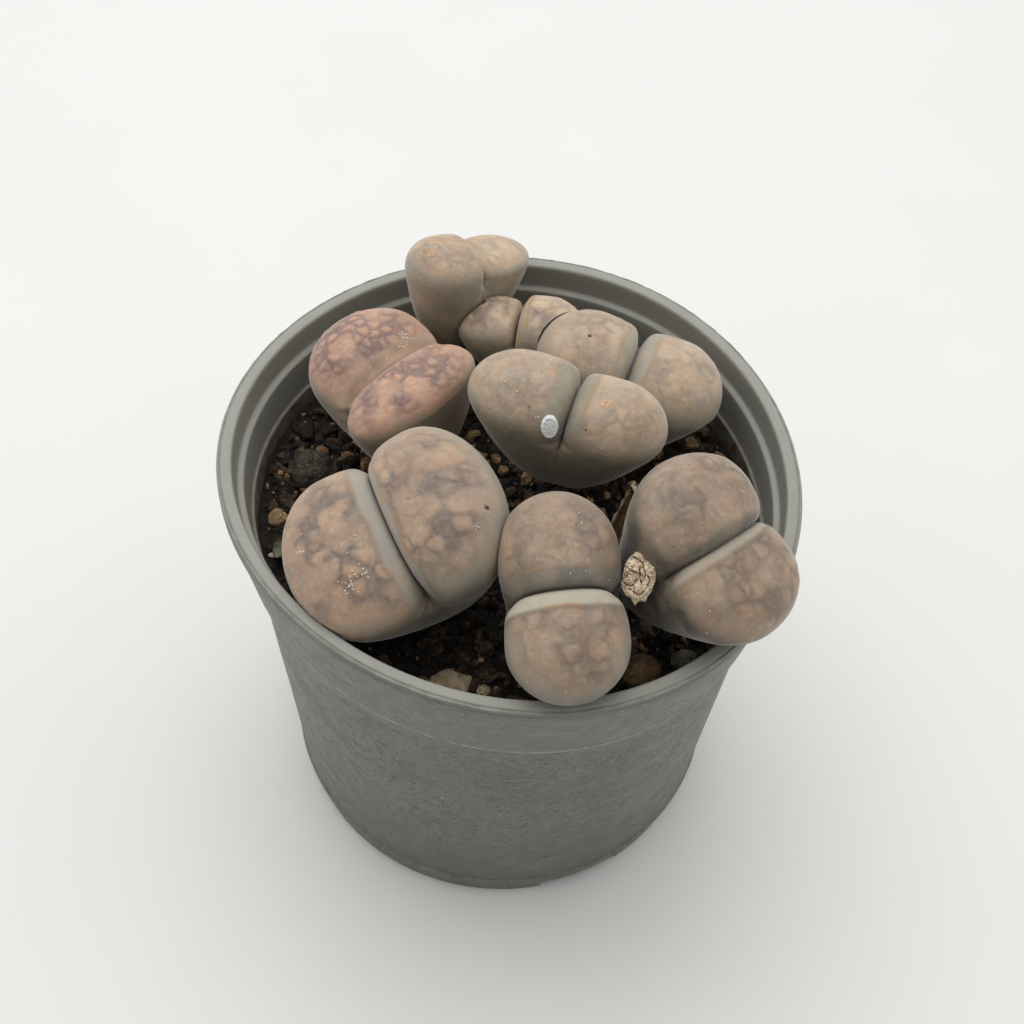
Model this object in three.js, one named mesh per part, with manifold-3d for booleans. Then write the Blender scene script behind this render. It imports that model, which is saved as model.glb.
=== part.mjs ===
// Potted lithops: eight living stones in gritty soil in a round plastic pot.
// Millimetres, +Z up. The origin is on the surface that the pot stands on, under the middle of the rim.

import * as THREE from 'three';
import { mergeVertices } from 'three/addons/utils/BufferGeometryUtils.js';
import Module from 'manifold-3d';

const wasm = await Module();
wasm.setup();

// Pot, as moulded before it is pressed out of round
const RIM_RADIUS = 45;
const RIM_HEIGHT = 78;
const RIM_WIDTH = 2.4;
const RIM_ROUNDING = 0.5;
const BAND_HEIGHT = 16;
const BAND_LOW_RADIUS = 42.7;
const BAND_STEP = 1.2;
const FOOT_BAND_HEIGHT = 5.6;
const FOOT_BAND_RADIUS = 38.7;
const FOOT_BAND_STEP = 0.4;
const BASE_RADIUS = 37.6;
const FOOT_RING_WIDTH = 3.2;
const FLOOR_UNDERSIDE = 1.8;
const FLOOR_TOP = 3.4;
const INNER_FLOOR_RADIUS = 36;
const UPPER_LEDGE = { depth: 4.4, width: 1.0 };
const LOWER_LEDGE = { depth: 10.6, width: 0.5 };
const INNER_WALL_SLOPE = 0.075;
const POT_SEGMENTS = 48;
const DRAIN_HOLES = 5;
const DRAIN_HOLE_RADIUS = 3.2;
const DRAIN_HOLE_CIRCLE = 24;
const FOOT_NOTCHES = 3;
const FOOT_NOTCH_WIDTH = 15;
const FOOT_NOTCH_HEIGHT = 2.2;
const FOOT_NOTCH_TURN = -66;

// The soft rim is pressed into a slight oval and its two long ends dip
const RIM_SQUEEZE = 1.6;
const RIM_DIP = 1.36;

// Soil
const SOIL_DEPTH_UNDER_RIM = 14;
const SOIL_GAP = 0.35;
const SOIL_SEGMENTS = 36;
const SOIL_RINGS = 7;
const SOIL_UNEVENNESS = 0.9;
const GRIT_COUNT = 70;
const GRIT_SMALLEST = 0.8;
const GRIT_LARGEST = 1.8;
const GRIT_CLEAR_OF_WALL = 2.6;

// Heads. Each place is the middle of the head at its widest level. The height is over the rim, lean is how
// far the axis goes to +X and +Y for each unit up, and turn is where the fissure points, in degrees from +X.
// Each leaf has its half length along the fissure, its width across from the fissure, and its crown, the
// height of its top over the widest level. Fullness is 1 for a straight cone under the leaves, and more for a
// body that stays full on its way down. Net is how far the net on the faces is raised, and leafDetail is how
// finely a leaf is divided. PressedBy names the neighbours that dent a head.
const LEAF_GAP = 0.35;
const HOLE_GAP = 0.7;
const FISSURE_OVERLAP = 0.12;
const ROOT_DEPTH = 6;
const LEAF_MIDDLE = 0.42;
const CROWN_POWER = 2.2;
const UNDERSIDE_POWER = 1.7;
const FISSURE_EDGE = { above: 7, below: 24 };
const UNDERSIDE_DRAW = 0.45;
const BODY_HALF = 0.86;
const BODY_WIDTH = 0.72;
const BODY_DROP = 3;
const HEADS = [
  { name: 'head_back_left', place: [-8.2, 34.0], height: 7.5, lean: [0.12, 0.22], turn: 126, taper: 27,
    leaves: [{ half: 6.7, width: 10.3, crown: 5.1 }, { half: 5.7, width: 12.2, crown: 2.8 }],
    net: 0.3, fullness: 1.7, salt: 1, leafDetail: 4, pressedBy: [] },
  { name: 'head_left', place: [-17.7, 11.4], height: 3, lean: [-0.24, 0.07], turn: 40.5, taper: 21,
    leaves: [{ half: 10.5, width: 17.0, crown: 7.4 }, { half: 11.6, width: 10.0, crown: 4.4 }],
    net: 0.6, fullness: 1.15, salt: 2, leafDetail: 5, pressedBy: ['head_back_left'] },
  { name: 'head_back_small', place: [1.2, 26.2], height: 1, lean: [0.0, 0.1], turn: 79, taper: 14,
    leaves: [{ half: 5.6, width: 10.8, crown: 4.4 }, { half: 6.0, width: 10.9, crown: 5.9 }],
    net: 0.3, fullness: 1.15, salt: 3, leafDetail: 3, pressedBy: ['head_back_left', 'head_back_right'] },
  { name: 'head_back_right', place: [18.8, 15.8], height: 2, lean: [0.21, 0.12], turn: 73.5, taper: 16,
    leaves: [{ half: 8.8, width: 15.3, crown: 7.3 }, { half: 9.2, width: 15.4, crown: 7.3 }],
    net: 0.4, fullness: 1.15, salt: 4, leafDetail: 4, pressedBy: ['head_centre'] },
  { name: 'head_centre', place: [9.3, 1.9], height: 8.5, lean: [0.08, -0.08], turn: 74, taper: 20,
    leaves: [{ half: 7.5, width: 16.3, crown: 6.2 }, { half: 7.2, width: 14.8, crown: 6.1 }],
    net: 0.38, fullness: 1.15, salt: 5, leafDetail: 4, pressedBy: [] },
  { name: 'head_front_left', place: [-15.2, -19.7], height: 5.5, lean: [-0.29, -0.28], turn: 112, taper: 20,
    leaves: [{ half: 13.1, width: 17.5, crown: 7.4 }, { half: 13.5, width: 16.2, crown: 8.6 }],
    net: 0.5, fullness: 1.75, salt: 6, leafDetail: 5, pressedBy: [] },
  { name: 'head_front_middle', place: [8.1, -31.0], height: 7, lean: [-0.04, -0.32], turn: 7.5, taper: 18,
    leaves: [{ half: 8.6, width: 15.4, crown: 6.6 }, { half: 8.6, width: 14.9, crown: 5.8 }],
    net: 0.45, fullness: 1.3, salt: 7, leafDetail: 4, pressedBy: ['head_front_left'] },
  { name: 'head_right', place: [28.9, -23.5], height: 9.6, lean: [0.46, -0.25], turn: 38, taper: 19,
    leaves: [{ half: 10.4, width: 13.9, crown: 7.0 }, { half: 10.6, width: 14.1, crown: 5.8 }],
    net: 0.45, fullness: 1.7, salt: 8, leafDetail: 4, pressedBy: [] },
];
const NET_CELL = 4.0;
const NET_CHANNEL = 0.45;
const FACE_CROWDING = 0.45;

// Stones on the soil: middle, full size along, across and up, turn in degrees, and how far they are sunk
const STONES = [
  { name: 'stone_dark_left', place: [-32.0, 6.2], size: [8.2, 7.6, 5.6], turn: 20, sunk: 0.35,
    colour: 0x3b3933 },
  { name: 'stone_tan_left', place: [-36.9, -3.1], size: [3.2, 2.6, 2.2], turn: 70, sunk: 0.3,
    colour: 0xa5835f },
  { name: 'stone_white_left', place: [-36.8, -10.6], size: [1.5, 1.3, 1.2], turn: 10, sunk: 0.3,
    colour: 0xc9c5b4 },
  { name: 'stone_tan_front', place: [-7.5, -33.4], size: [7.0, 4.6, 3.6], turn: 8, sunk: 0.35,
    colour: 0x8b7a66 },
  { name: 'stone_light_front', place: [-2.6, -34.0], size: [2.5, 2.1, 2.0], turn: 50, sunk: 0.3,
    colour: 0xa39a8b },
  { name: 'stone_brown_right', place: [21.0, -29.9], size: [6.2, 5.4, 4.4], turn: 60, sunk: 0.35,
    colour: 0x5d4733 },
  { name: 'stone_grey_right', place: [27.3, -27.2], size: [3.8, 3.2, 2.6], turn: 30, sunk: 0.3,
    colour: 0x6d6b66 },
];

// Dried seed capsule by the right head's fissure: a flattened cup of folded valves on a short stalk
const CAPSULE = { place: [18.4, -29.0], height: 10.2, facing: [-0.35, -0.6, 0.75], roll: -12,
  half: 4.1, width: 2.8, thick: 1.1, stalkRadius: 0.9 };

// Papery dried leaf between the centre and right heads
const DRY_LEAF = { thick: 0.6, width: 3.2, cup: 0.5, route: [[17.0, -7.2, -14.6], [17.8, -7.0, -9],
  [19.4, -5.6, -4.5], [20.6, -4.4, -1.6], [20.2, -3.6, -0.4]] };

// White fleck on the centre head
const FLECK = { place: [5.9, -3.7], height: 11.4, facing: [0.1, -0.85, 0.5], roll: 95,
  half: 1.85, width: 1.3, thick: 0.9 };

// Seedling: one thick leaf on a short stem
const SEEDLING = { place: [-34.8, -9.2], leafLength: 6.0, leafWidth: 2.8, leafThick: 1.0, stem: 0.5, lean: 28,
  turn: 262 };

// Curl of dry twig
const TWIG = { radius: 0.45, route: [[-1.8, -32.4, -14.2], [-1.4, -32.2, -13.1], [-0.2, -31.8, -12.4],
  [1.0, -32.4, -12.6], [0.6, -33.4, -13.2]] };

// Repeatable noise
function fraction(value) {
  return value - Math.floor(value);
}

function lattice(i, j, k, salt) {
  return fraction(Math.sin(i * 127.1 + j * 311.7 + k * 74.7 + salt * 53.3) * 43758.5453);
}

function seededRandom(seed) {
  let step = 0;
  return () => lattice(++step, 0, 0, seed);
}

function smoothStep(from, to, value) {
  const t = Math.min(1, Math.max(0, (value - from) / (to - from)));
  return t * t * (3 - 2 * t);
}

function mix(a, b, t) {
  return a + (b - a) * t;
}

// Smooth noise between 0 and 1
function wander(x, y, z, salt) {
  const i = Math.floor(x);
  const j = Math.floor(y);
  const k = Math.floor(z);
  const u = smoothStep(0, 1, x - i);
  const v = smoothStep(0, 1, y - j);
  const w = smoothStep(0, 1, z - k);
  const along = (dj, dk) => mix(lattice(i, j + dj, k + dk, salt), lattice(i + 1, j + dj, k + dk, salt), u);
  return mix(mix(along(0, 0), along(1, 0), v), mix(along(0, 1), along(1, 1), v), w);
}

// How far a point is from the border of its cell in an irregular net, 0 on the border
function netBorder(x, y, z, salt) {
  let nearest = Infinity;
  let second = Infinity;
  const home = [Math.floor(x), Math.floor(y), Math.floor(z)];
  for (let i = home[0] - 1; i <= home[0] + 1; i++) {
    for (let j = home[1] - 1; j <= home[1] + 1; j++) {
      for (let k = home[2] - 1; k <= home[2] + 1; k++) {
        const dx = i + lattice(i, j, k, salt) - x;
        const dy = j + lattice(i, j, k, salt + 10) - y;
        const dz = k + lattice(i, j, k, salt + 20) - z;
        const distance = Math.hypot(dx, dy, dz);
        if (distance < nearest) {
          second = nearest;
          nearest = distance;
        } else if (distance < second) {
          second = distance;
        }
      }
    }
  }
  return second - nearest;
}

// Solids
function toSolid(geometry) {
  const bare = geometry.clone();
  bare.deleteAttribute('normal');
  bare.deleteAttribute('uv');
  const merged = mergeVertices(bare, 1e-4);
  const index = merged.index.array;
  const corners = [];
  for (let t = 0; t < index.length; t += 3) {
    const [a, b, c] = [index[t], index[t + 1], index[t + 2]];
    if (a !== b && b !== c && c !== a) corners.push(a, b, c);
  }
  return new wasm.Manifold(new wasm.Mesh({
    numProp: 3,
    vertProperties: new Float32Array(merged.attributes.position.array),
    triVerts: new Uint32Array(corners),
  }));
}

function toGeometry(solid) {
  const mesh = solid.getMesh();
  const geometry = new THREE.BufferGeometry();
  geometry.setAttribute('position', new THREE.BufferAttribute(new Float32Array(mesh.vertProperties), 3));
  geometry.setIndex(new THREE.BufferAttribute(new Uint32Array(mesh.triVerts), 1));
  geometry.computeVertexNormals();
  return geometry;
}

// A closed surface with one point in each direction, at the place that reach gives. With crowding over 0 the
// points lie closer together on top, and with crowding under 0 below.
function fromDirections({ detail, crowding = 0 }, reach) {
  const geometry = new THREE.IcosahedronGeometry(1, detail);
  const position = geometry.attributes.position;
  const direction = new THREE.Vector3();
  for (let n = 0; n < position.count; n++) {
    direction.fromBufferAttribute(position, n).normalize();
    direction.z += crowding;
    direction.normalize();
    const point = reach(direction);
    position.setXYZ(n, point.x, point.y, point.z);
  }
  return geometry;
}

function spun(profile, segments) {
  const points = profile.map(([radius, height]) => new THREE.Vector2(radius, height));
  const geometry = new THREE.LatheGeometry(points, segments);
  geometry.rotateX(Math.PI / 2);
  return geometry;
}

function makeMesh(name, geometry, colour, roughness, matrix = new THREE.Matrix4()) {
  const material = new THREE.MeshStandardMaterial({ color: colour, roughness, metalness: 0 });
  const mesh = new THREE.Mesh(geometry, material);
  mesh.name = name;
  mesh.applyMatrix4(matrix);
  return mesh;
}

// Presses a round shape into the shape of the pot: oval at the rim, true at the base
function pressOutOfRound(geometry) {
  const position = geometry.attributes.position;
  for (let n = 0; n < position.count; n++) {
    const x = position.getX(n);
    const y = position.getY(n);
    const z = position.getZ(n);
    const share = z / RIM_HEIGHT;
    const twice = Math.sin(2 * Math.atan2(y, x));
    const grow = 1 - share * (RIM_SQUEEZE / RIM_RADIUS) * twice;
    const radius = Math.min(1, Math.hypot(x, y) / RIM_RADIUS);
    position.setXYZ(n, x * grow, y * grow, z + share * RIM_DIP * twice * radius);
  }
  geometry.computeVertexNormals();
  return geometry;
}

// Pot
const innerRimRadius = RIM_RADIUS - RIM_WIDTH;
const upperWallFoot = innerRimRadius - UPPER_LEDGE.depth * INNER_WALL_SLOPE;
const upperLedgeEdge = upperWallFoot - UPPER_LEDGE.width;
const upperLedgeHeight = RIM_HEIGHT - UPPER_LEDGE.depth;
const lowerWallFoot = upperLedgeEdge - (LOWER_LEDGE.depth - UPPER_LEDGE.depth) * INNER_WALL_SLOPE;
const lowerLedgeEdge = lowerWallFoot - LOWER_LEDGE.width;
const lowerLedgeHeight = RIM_HEIGHT - LOWER_LEDGE.depth;

function innerRadius(height) {
  return mix(INNER_FLOOR_RADIUS, lowerLedgeEdge, (height - FLOOR_TOP) / (lowerLedgeHeight - FLOOR_TOP));
}

function potProfile() {
  const bandFoot = RIM_HEIGHT - BAND_HEIGHT;
  const footInner = BASE_RADIUS - FOOT_RING_WIDTH;
  return [
    [0, FLOOR_UNDERSIDE],
    [footInner - 0.6, FLOOR_UNDERSIDE],
    [footInner, 0],
    [BASE_RADIUS - 0.5, 0],
    [BASE_RADIUS, 0.5],
    [FOOT_BAND_RADIUS, FOOT_BAND_HEIGHT - 0.3],
    [FOOT_BAND_RADIUS - FOOT_BAND_STEP, FOOT_BAND_HEIGHT],
    [BAND_LOW_RADIUS - BAND_STEP, bandFoot - 0.4],
    [BAND_LOW_RADIUS - 0.3, bandFoot],
    [BAND_LOW_RADIUS, bandFoot + 0.4],
    [RIM_RADIUS - 0.35, RIM_HEIGHT - 3.2],
    [RIM_RADIUS, RIM_HEIGHT - 2.4],
    [RIM_RADIUS, RIM_HEIGHT - RIM_ROUNDING],
    [RIM_RADIUS - RIM_ROUNDING, RIM_HEIGHT],
    [innerRimRadius + RIM_ROUNDING, RIM_HEIGHT],
    [innerRimRadius, RIM_HEIGHT - RIM_ROUNDING],
    [upperWallFoot, upperLedgeHeight],
    [upperLedgeEdge + 0.3, upperLedgeHeight - 0.3],
    [upperLedgeEdge, upperLedgeHeight - 0.7],
    [lowerWallFoot, lowerLedgeHeight],
    [lowerLedgeEdge, lowerLedgeHeight - 0.4],
    [INNER_FLOOR_RADIUS, FLOOR_TOP + 1.5],
    [INNER_FLOOR_RADIUS - 1.5, FLOOR_TOP],
    [0, FLOOR_TOP],
  ];
}

function drainHole(number) {
  const hole = new THREE.CylinderGeometry(DRAIN_HOLE_RADIUS, DRAIN_HOLE_RADIUS, 3 * FLOOR_TOP, 16);
  hole.rotateX(Math.PI / 2);
  hole.translate(DRAIN_HOLE_CIRCLE, 0, FLOOR_TOP);
  hole.rotateZ((number * 2 * Math.PI) / DRAIN_HOLES);
  return toSolid(hole);
}

function footNotch(number) {
  const notch = new THREE.BoxGeometry(4 * FOOT_RING_WIDTH, FOOT_NOTCH_WIDTH, 2 * FOOT_NOTCH_HEIGHT);
  notch.translate(BASE_RADIUS - 0.5 * FOOT_RING_WIDTH, 0, 0);
  notch.rotateZ(THREE.MathUtils.degToRad(FOOT_NOTCH_TURN) + (number * 2 * Math.PI) / FOOT_NOTCHES);
  return toSolid(notch);
}

function makePot() {
  let solid = toSolid(spun(potProfile(), POT_SEGMENTS));
  for (let n = 0; n < DRAIN_HOLES; n++) solid = solid.subtract(drainHole(n));
  for (let n = 0; n < FOOT_NOTCHES; n++) solid = solid.subtract(footNotch(n));
  return makeMesh('pot', pressOutOfRound(toGeometry(solid)), 0x868a88, 0.6);
}

// Heads
function headMatrix(head) {
  const axis = new THREE.Vector3(head.lean[0], head.lean[1], 1).normalize();
  const turn = THREE.MathUtils.degToRad(head.turn);
  const along = new THREE.Vector3(Math.cos(turn), Math.sin(turn), 0);
  along.addScaledVector(axis, -along.dot(axis)).normalize();
  const across = new THREE.Vector3().crossVectors(axis, along);
  const matrix = new THREE.Matrix4().makeBasis(along, across, axis);
  return matrix.setPosition(head.place[0], head.place[1], RIM_HEIGHT + head.height);
}

// Raised islands with sunk channels between them, on the face of a leaf and not beside the fissure
function faceNet(head, leafWidth, point, direction) {
  const onFace = smoothStep(0.25, 0.6, direction.z);
  const offFissure = smoothStep(1.5, 3.2, Math.abs(point.y));
  const insideEdge = 1 - smoothStep(0.8, 1.0, Math.abs(point.y) / leafWidth);
  const border = netBorder(point.x / NET_CELL, point.y / NET_CELL, point.z / NET_CELL, head.salt);
  return head.net * onFace * offFissure * insideEdge * (smoothStep(0, NET_CHANNEL, border) - NET_CHANNEL);
}

// One leaf: an egg, full on top and drawn in below. Above its widest level the edge along the fissure is
// rounded, and below that level the two leaves meet flush and draw in together.
function leafSolid(head, leaf, side, swell, mesh) {
  const middle = LEAF_MIDDLE * leaf.width;
  const half = leaf.half + swell;
  const outer = leaf.width - middle + swell;
  const crown = leaf.crown + swell;
  const taper = head.taper + swell;
  const geometry = fromDirections(mesh, (direction) => {
    const below = smoothStep(0, 0.4, -direction.z);
    const inner = leaf.width * mix(1, 1.8, below) + swell;
    const across = side * direction.y > 0 ? outer : inner;
    const flat = Math.hypot(direction.x / half, direction.y / across);
    const power = direction.z > 0 ? CROWN_POWER : UNDERSIDE_POWER;
    const rise = Math.abs(direction.z) / (direction.z > 0 ? crown : taper);
    let reach = Math.pow(Math.pow(flat, power) + Math.pow(rise, power), -1 / power);
    const wall = (middle + FISSURE_OVERLAP + swell) / Math.max(-side * direction.y, 1e-4);
    const edge = mix(FISSURE_EDGE.above, FISSURE_EDGE.below, below);
    reach = Math.pow(Math.pow(reach, -edge) + Math.pow(wall, -edge), -1 / edge);
    const point = direction.clone().multiplyScalar(reach);
    point.y += side * middle;
    point.y *= 1 - UNDERSIDE_DRAW * Math.min(1, Math.max(0, -point.z / taper));
    if (swell === 0) point.addScaledVector(direction, faceNet(head, leaf.width, point, direction));
    return point;
  });
  return toSolid(geometry);
}

// The undivided body under the two leaves: a cone down to its root end in the soil
function bodySolid(head, swell, mesh) {
  const half = BODY_HALF * Math.min(head.leaves[0].half, head.leaves[1].half) + swell;
  const [left, right] = head.leaves.map((leaf) => BODY_WIDTH * leaf.width + swell);
  const slant = Math.hypot(head.lean[0], head.lean[1], 1);
  const low = (head.height + SOIL_DEPTH_UNDER_RIM + ROOT_DEPTH) * slant - BODY_DROP + swell;
  const geometry = fromDirections(mesh, (direction) => {
    const across = direction.y > 0 ? left : right;
    const flat = Math.hypot(direction.x / half, direction.y / across);
    const rise = Math.abs(direction.z) / (direction.z > 0 ? 2 : low);
    const power = direction.z > 0 ? 2 : head.fullness;
    const reach = Math.pow(Math.pow(flat, power) + Math.pow(rise, power), -1 / power);
    return direction.clone().multiplyScalar(reach);
  });
  geometry.translate(0, 0, -BODY_DROP);
  return toSolid(geometry);
}

function headSolid(head, swell) {
  const leafMesh = { detail: head.leafDetail, crowding: FACE_CROWDING };
  return leafSolid(head, head.leaves[0], 1, swell, leafMesh)
    .add(leafSolid(head, head.leaves[1], -1, swell, leafMesh))
    .add(bodySolid(head, swell, { detail: 2 }));
}

// The plain hole that a head stands in
function holeSolid(head) {
  const leafMesh = { detail: 3, crowding: -FACE_CROWDING };
  return leafSolid(head, head.leaves[0], 1, HOLE_GAP, leafMesh)
    .add(leafSolid(head, head.leaves[1], -1, HOLE_GAP, leafMesh))
    .add(bodySolid(head, HOLE_GAP, { detail: 2 }));
}

function placed(solid, matrix) {
  return solid.transform(matrix.elements);
}

// The space that the rim and the upper wall take, with the gap that a leaf leaning on them keeps
function rimSpace() {
  const low = lowerLedgeHeight - 6;
  const ring = spun([
    [innerRadius(low) - LEAF_GAP, low],
    [RIM_RADIUS, low],
    [RIM_RADIUS + LEAF_GAP, RIM_HEIGHT - BAND_STEP],
    [RIM_RADIUS, RIM_HEIGHT + LEAF_GAP],
    [innerRimRadius + 0.2, RIM_HEIGHT + LEAF_GAP],
    [innerRimRadius - LEAF_GAP, RIM_HEIGHT],
    [upperWallFoot - LEAF_GAP, upperLedgeHeight + LEAF_GAP],
    [upperLedgeEdge - LEAF_GAP, upperLedgeHeight],
    [lowerLedgeEdge - LEAF_GAP, lowerLedgeHeight],
    [innerRadius(low) - LEAF_GAP, low],
  ], POT_SEGMENTS);
  return toSolid(pressOutOfRound(ring));
}

// A head with the shallow dents where its neighbours and the rim press on it
function makeHead(head, rim) {
  const matrix = headMatrix(head);
  const inverse = matrix.clone().invert();
  let solid = headSolid(head, 0).subtract(placed(rim, inverse));
  for (const name of head.pressedBy) {
    const other = HEADS.find((candidate) => candidate.name === name);
    const there = inverse.clone().multiply(headMatrix(other));
    solid = solid.subtract(placed(headSolid(other, LEAF_GAP), there));
  }
  const colour = head.name === 'head_left' ? 0xb4846f : 0x9a8672;
  return makeMesh(head.name, toGeometry(solid), colour, 0.55, matrix);
}

// Soil
const soilTop = RIM_HEIGHT - SOIL_DEPTH_UNDER_RIM;

function soilHeight(x, y) {
  const slow = wander(x / 9, y / 9, 0, 31) - 0.5;
  const quick = wander(x / 3.2, y / 3.2, 0, 32) - 0.5;
  return soilTop + SOIL_UNEVENNESS * (slow + 0.8 * quick);
}

function soilGeometry() {
  const floor = FLOOR_TOP + SOIL_GAP;
  const profile = [[0, floor], [innerRadius(floor) - 2.2, floor]];
  profile.push([innerRadius(floor + 2) - SOIL_GAP, floor + 2]);
  for (let ring = 0; ring <= SOIL_RINGS; ring++) {
    profile.push([(innerRadius(soilTop) - SOIL_GAP) * (1 - ring / SOIL_RINGS), soilTop]);
  }
  const geometry = spun(profile, SOIL_SEGMENTS);
  const position = geometry.attributes.position;
  for (let n = 0; n < position.count; n++) {
    if (position.getZ(n) > soilTop - 0.01) {
      position.setZ(n, soilHeight(position.getX(n), position.getY(n)));
    }
  }
  return geometry;
}

// An uneven lump of stone
function stoneSolid(stone, swell) {
  const [length, width, height] = stone.size.map((size) => size / 2 + swell);
  const salt = stone.name.length + stone.size[0];
  const geometry = fromDirections({ detail: stone.size[0] > 4 ? 2 : 1 }, (direction) => {
    const lump = wander(direction.x * 1.7 + 9, direction.y * 1.7 + 9, direction.z * 1.7 + 9, salt);
    const reach = 0.84 + 0.32 * lump;
    const point = new THREE.Vector3(direction.x * length, direction.y * width, direction.z * height);
    return point.multiplyScalar(reach);
  });
  return toSolid(geometry);
}

function stoneMatrix(stone) {
  const matrix = new THREE.Matrix4().makeRotationZ(THREE.MathUtils.degToRad(stone.turn));
  const rest = soilHeight(...stone.place) + stone.size[2] * (0.5 - stone.sunk);
  return matrix.setPosition(stone.place[0], stone.place[1], rest);
}

function makeStone(stone) {
  return makeMesh(stone.name, toGeometry(stoneSolid(stone, 0)), stone.colour, 0.9, stoneMatrix(stone));
}

// Grit sunk into the soil, each grain a rough crystal-like lump
function gritSolids() {
  const random = seededRandom(77);
  const grains = [];
  for (let n = 0; n < GRIT_COUNT; n++) {
    const angle = 2 * Math.PI * random();
    const radius = (innerRadius(soilTop) - GRIT_CLEAR_OF_WALL) * Math.sqrt(0.15 + 0.85 * random());
    const size = mix(GRIT_SMALLEST, GRIT_LARGEST, random() ** 2);
    const grain = new THREE.OctahedronGeometry(size, 0);
    grain.scale(1, 0.75 + 0.25 * random(), 0.7);
    grain.rotateX(random());
    grain.rotateZ(6 * random());
    const x = radius * Math.cos(angle);
    const y = radius * Math.sin(angle);
    grain.translate(x, y, soilHeight(x, y));
    grains.push(toSolid(grain));
  }
  return grains;
}

function largestBody(solid) {
  return solid.decompose().reduce((best, piece) => (piece.volume() > best.volume() ? piece : best));
}

function makeSoil(others) {
  let solid = wasm.Manifold.union([toSolid(pressOutOfRound(soilGeometry())), ...gritSolids()]);
  for (const head of HEADS) solid = solid.subtract(placed(holeSolid(head), headMatrix(head)));
  for (const stone of STONES) solid = solid.subtract(placed(stoneSolid(stone, SOIL_GAP), stoneMatrix(stone)));
  for (const other of others) solid = solid.subtract(other);
  return makeMesh('soil', toGeometry(largestBody(solid)), 0x3a2c22, 0.95);
}

function swollenHead(name, inverse) {
  const head = HEADS.find((candidate) => candidate.name === name);
  return placed(headSolid(head, LEAF_GAP), inverse.clone().multiply(headMatrix(head)));
}

// The place of a thing that faces a given way
function facingMatrix(thing) {
  const matrix = new THREE.Matrix4();
  const facing = new THREE.Vector3(...thing.facing).normalize();
  const turn = new THREE.Quaternion().setFromUnitVectors(new THREE.Vector3(0, 0, 1), facing);
  const roll = new THREE.Quaternion().setFromAxisAngle(facing, THREE.MathUtils.degToRad(thing.roll));
  matrix.makeRotationFromQuaternion(roll.multiply(turn));
  return matrix.setPosition(thing.place[0], thing.place[1], RIM_HEIGHT + thing.height);
}

// Dried seed capsule: its folded valves are rings raised round its middle
function makeCapsule() {
  const cup = fromDirections({ detail: 4, crowding: 0.3 }, (direction) => {
    const out = Math.hypot(direction.x, direction.y);
    const angle = Math.atan2(direction.y, direction.x);
    const frill = 1 + 0.06 * Math.sin(9 * angle) * out;
    const rings = 0.32 * Math.cos(out * 17 + 1.2 * Math.sin(2 * angle)) * smoothStep(0, 0.3, direction.z);
    const height = CAPSULE.thick * direction.z * (direction.z > 0 ? 0.7 : 1.4) + rings;
    const width = CAPSULE.width * frill;
    const half = CAPSULE.half * frill;
    return new THREE.Vector3(direction.x * width, direction.y * half, height);
  });
  const stalk = new THREE.CylinderGeometry(CAPSULE.stalkRadius, CAPSULE.stalkRadius, 7, 8);
  stalk.rotateX(Math.PI / 2);
  stalk.translate(0, 0, -4);
  const matrix = facingMatrix(CAPSULE);
  const inverse = matrix.clone().invert();
  let solid = toSolid(cup).add(toSolid(stalk));
  for (const name of ['head_right', 'head_front_middle']) solid = solid.subtract(swollenHead(name, inverse));
  return makeMesh('seed_capsule', toGeometry(largestBody(solid)), 0xc9ab87, 0.85, matrix);
}

function route(points) {
  return new THREE.CatmullRomCurve3(points.map(([x, y, z]) => new THREE.Vector3(x, y, RIM_HEIGHT + z)));
}

// Papery dried leaf: a thin strip, cupped across, along its curling route
function dryLeafSolid(swell) {
  const half = DRY_LEAF.width / 2 + swell;
  const thick = DRY_LEAF.thick / 2 + swell;
  const outline = new THREE.Shape([
    new THREE.Vector2(-thick - DRY_LEAF.cup, -half), new THREE.Vector2(thick - DRY_LEAF.cup, -half),
    new THREE.Vector2(thick, 0), new THREE.Vector2(thick - DRY_LEAF.cup, half),
    new THREE.Vector2(-thick - DRY_LEAF.cup, half), new THREE.Vector2(-thick, 0),
  ]);
  const extrudePath = route(DRY_LEAF.route);
  return toSolid(new THREE.ExtrudeGeometry(outline, { steps: 10, extrudePath, bevelEnabled: false }));
}

function makeDryLeaf() {
  let solid = dryLeafSolid(0);
  for (const name of ['head_right', 'head_centre', 'head_front_middle', 'head_back_right']) {
    solid = solid.subtract(swollenHead(name, new THREE.Matrix4()));
  }
  return makeMesh('dry_leaf', toGeometry(largestBody(solid)), 0xa08a68, 0.8);
}

function ring(radius, sides) {
  const points = [];
  for (let n = 0; n < sides; n++) {
    const angle = (2 * Math.PI * n) / sides;
    points.push(new THREE.Vector2(radius * Math.cos(angle), radius * Math.sin(angle)));
  }
  return new THREE.Shape(points);
}

function twigSolid(swell) {
  const options = { steps: 12, extrudePath: route(TWIG.route), bevelEnabled: false };
  return toSolid(new THREE.ExtrudeGeometry(ring(TWIG.radius + swell, 6), options));
}

// White fleck, a low lens lying on the centre head
function makeFleck() {
  const matrix = facingMatrix(FLECK);
  const lens = fromDirections({ detail: 1 }, (direction) =>
    new THREE.Vector3(direction.x * FLECK.half, direction.y * FLECK.width, direction.z * FLECK.thick));
  const solid = toSolid(lens).subtract(swollenHead('head_centre', matrix.clone().invert()));
  return makeMesh('white_fleck', toGeometry(largestBody(solid)), 0xeef0ee, 0.6, matrix);
}

function seedlingMatrix() {
  const matrix = new THREE.Matrix4().makeRotationZ(THREE.MathUtils.degToRad(SEEDLING.turn));
  return matrix.setPosition(SEEDLING.place[0], SEEDLING.place[1], soilHeight(...SEEDLING.place));
}

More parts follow.
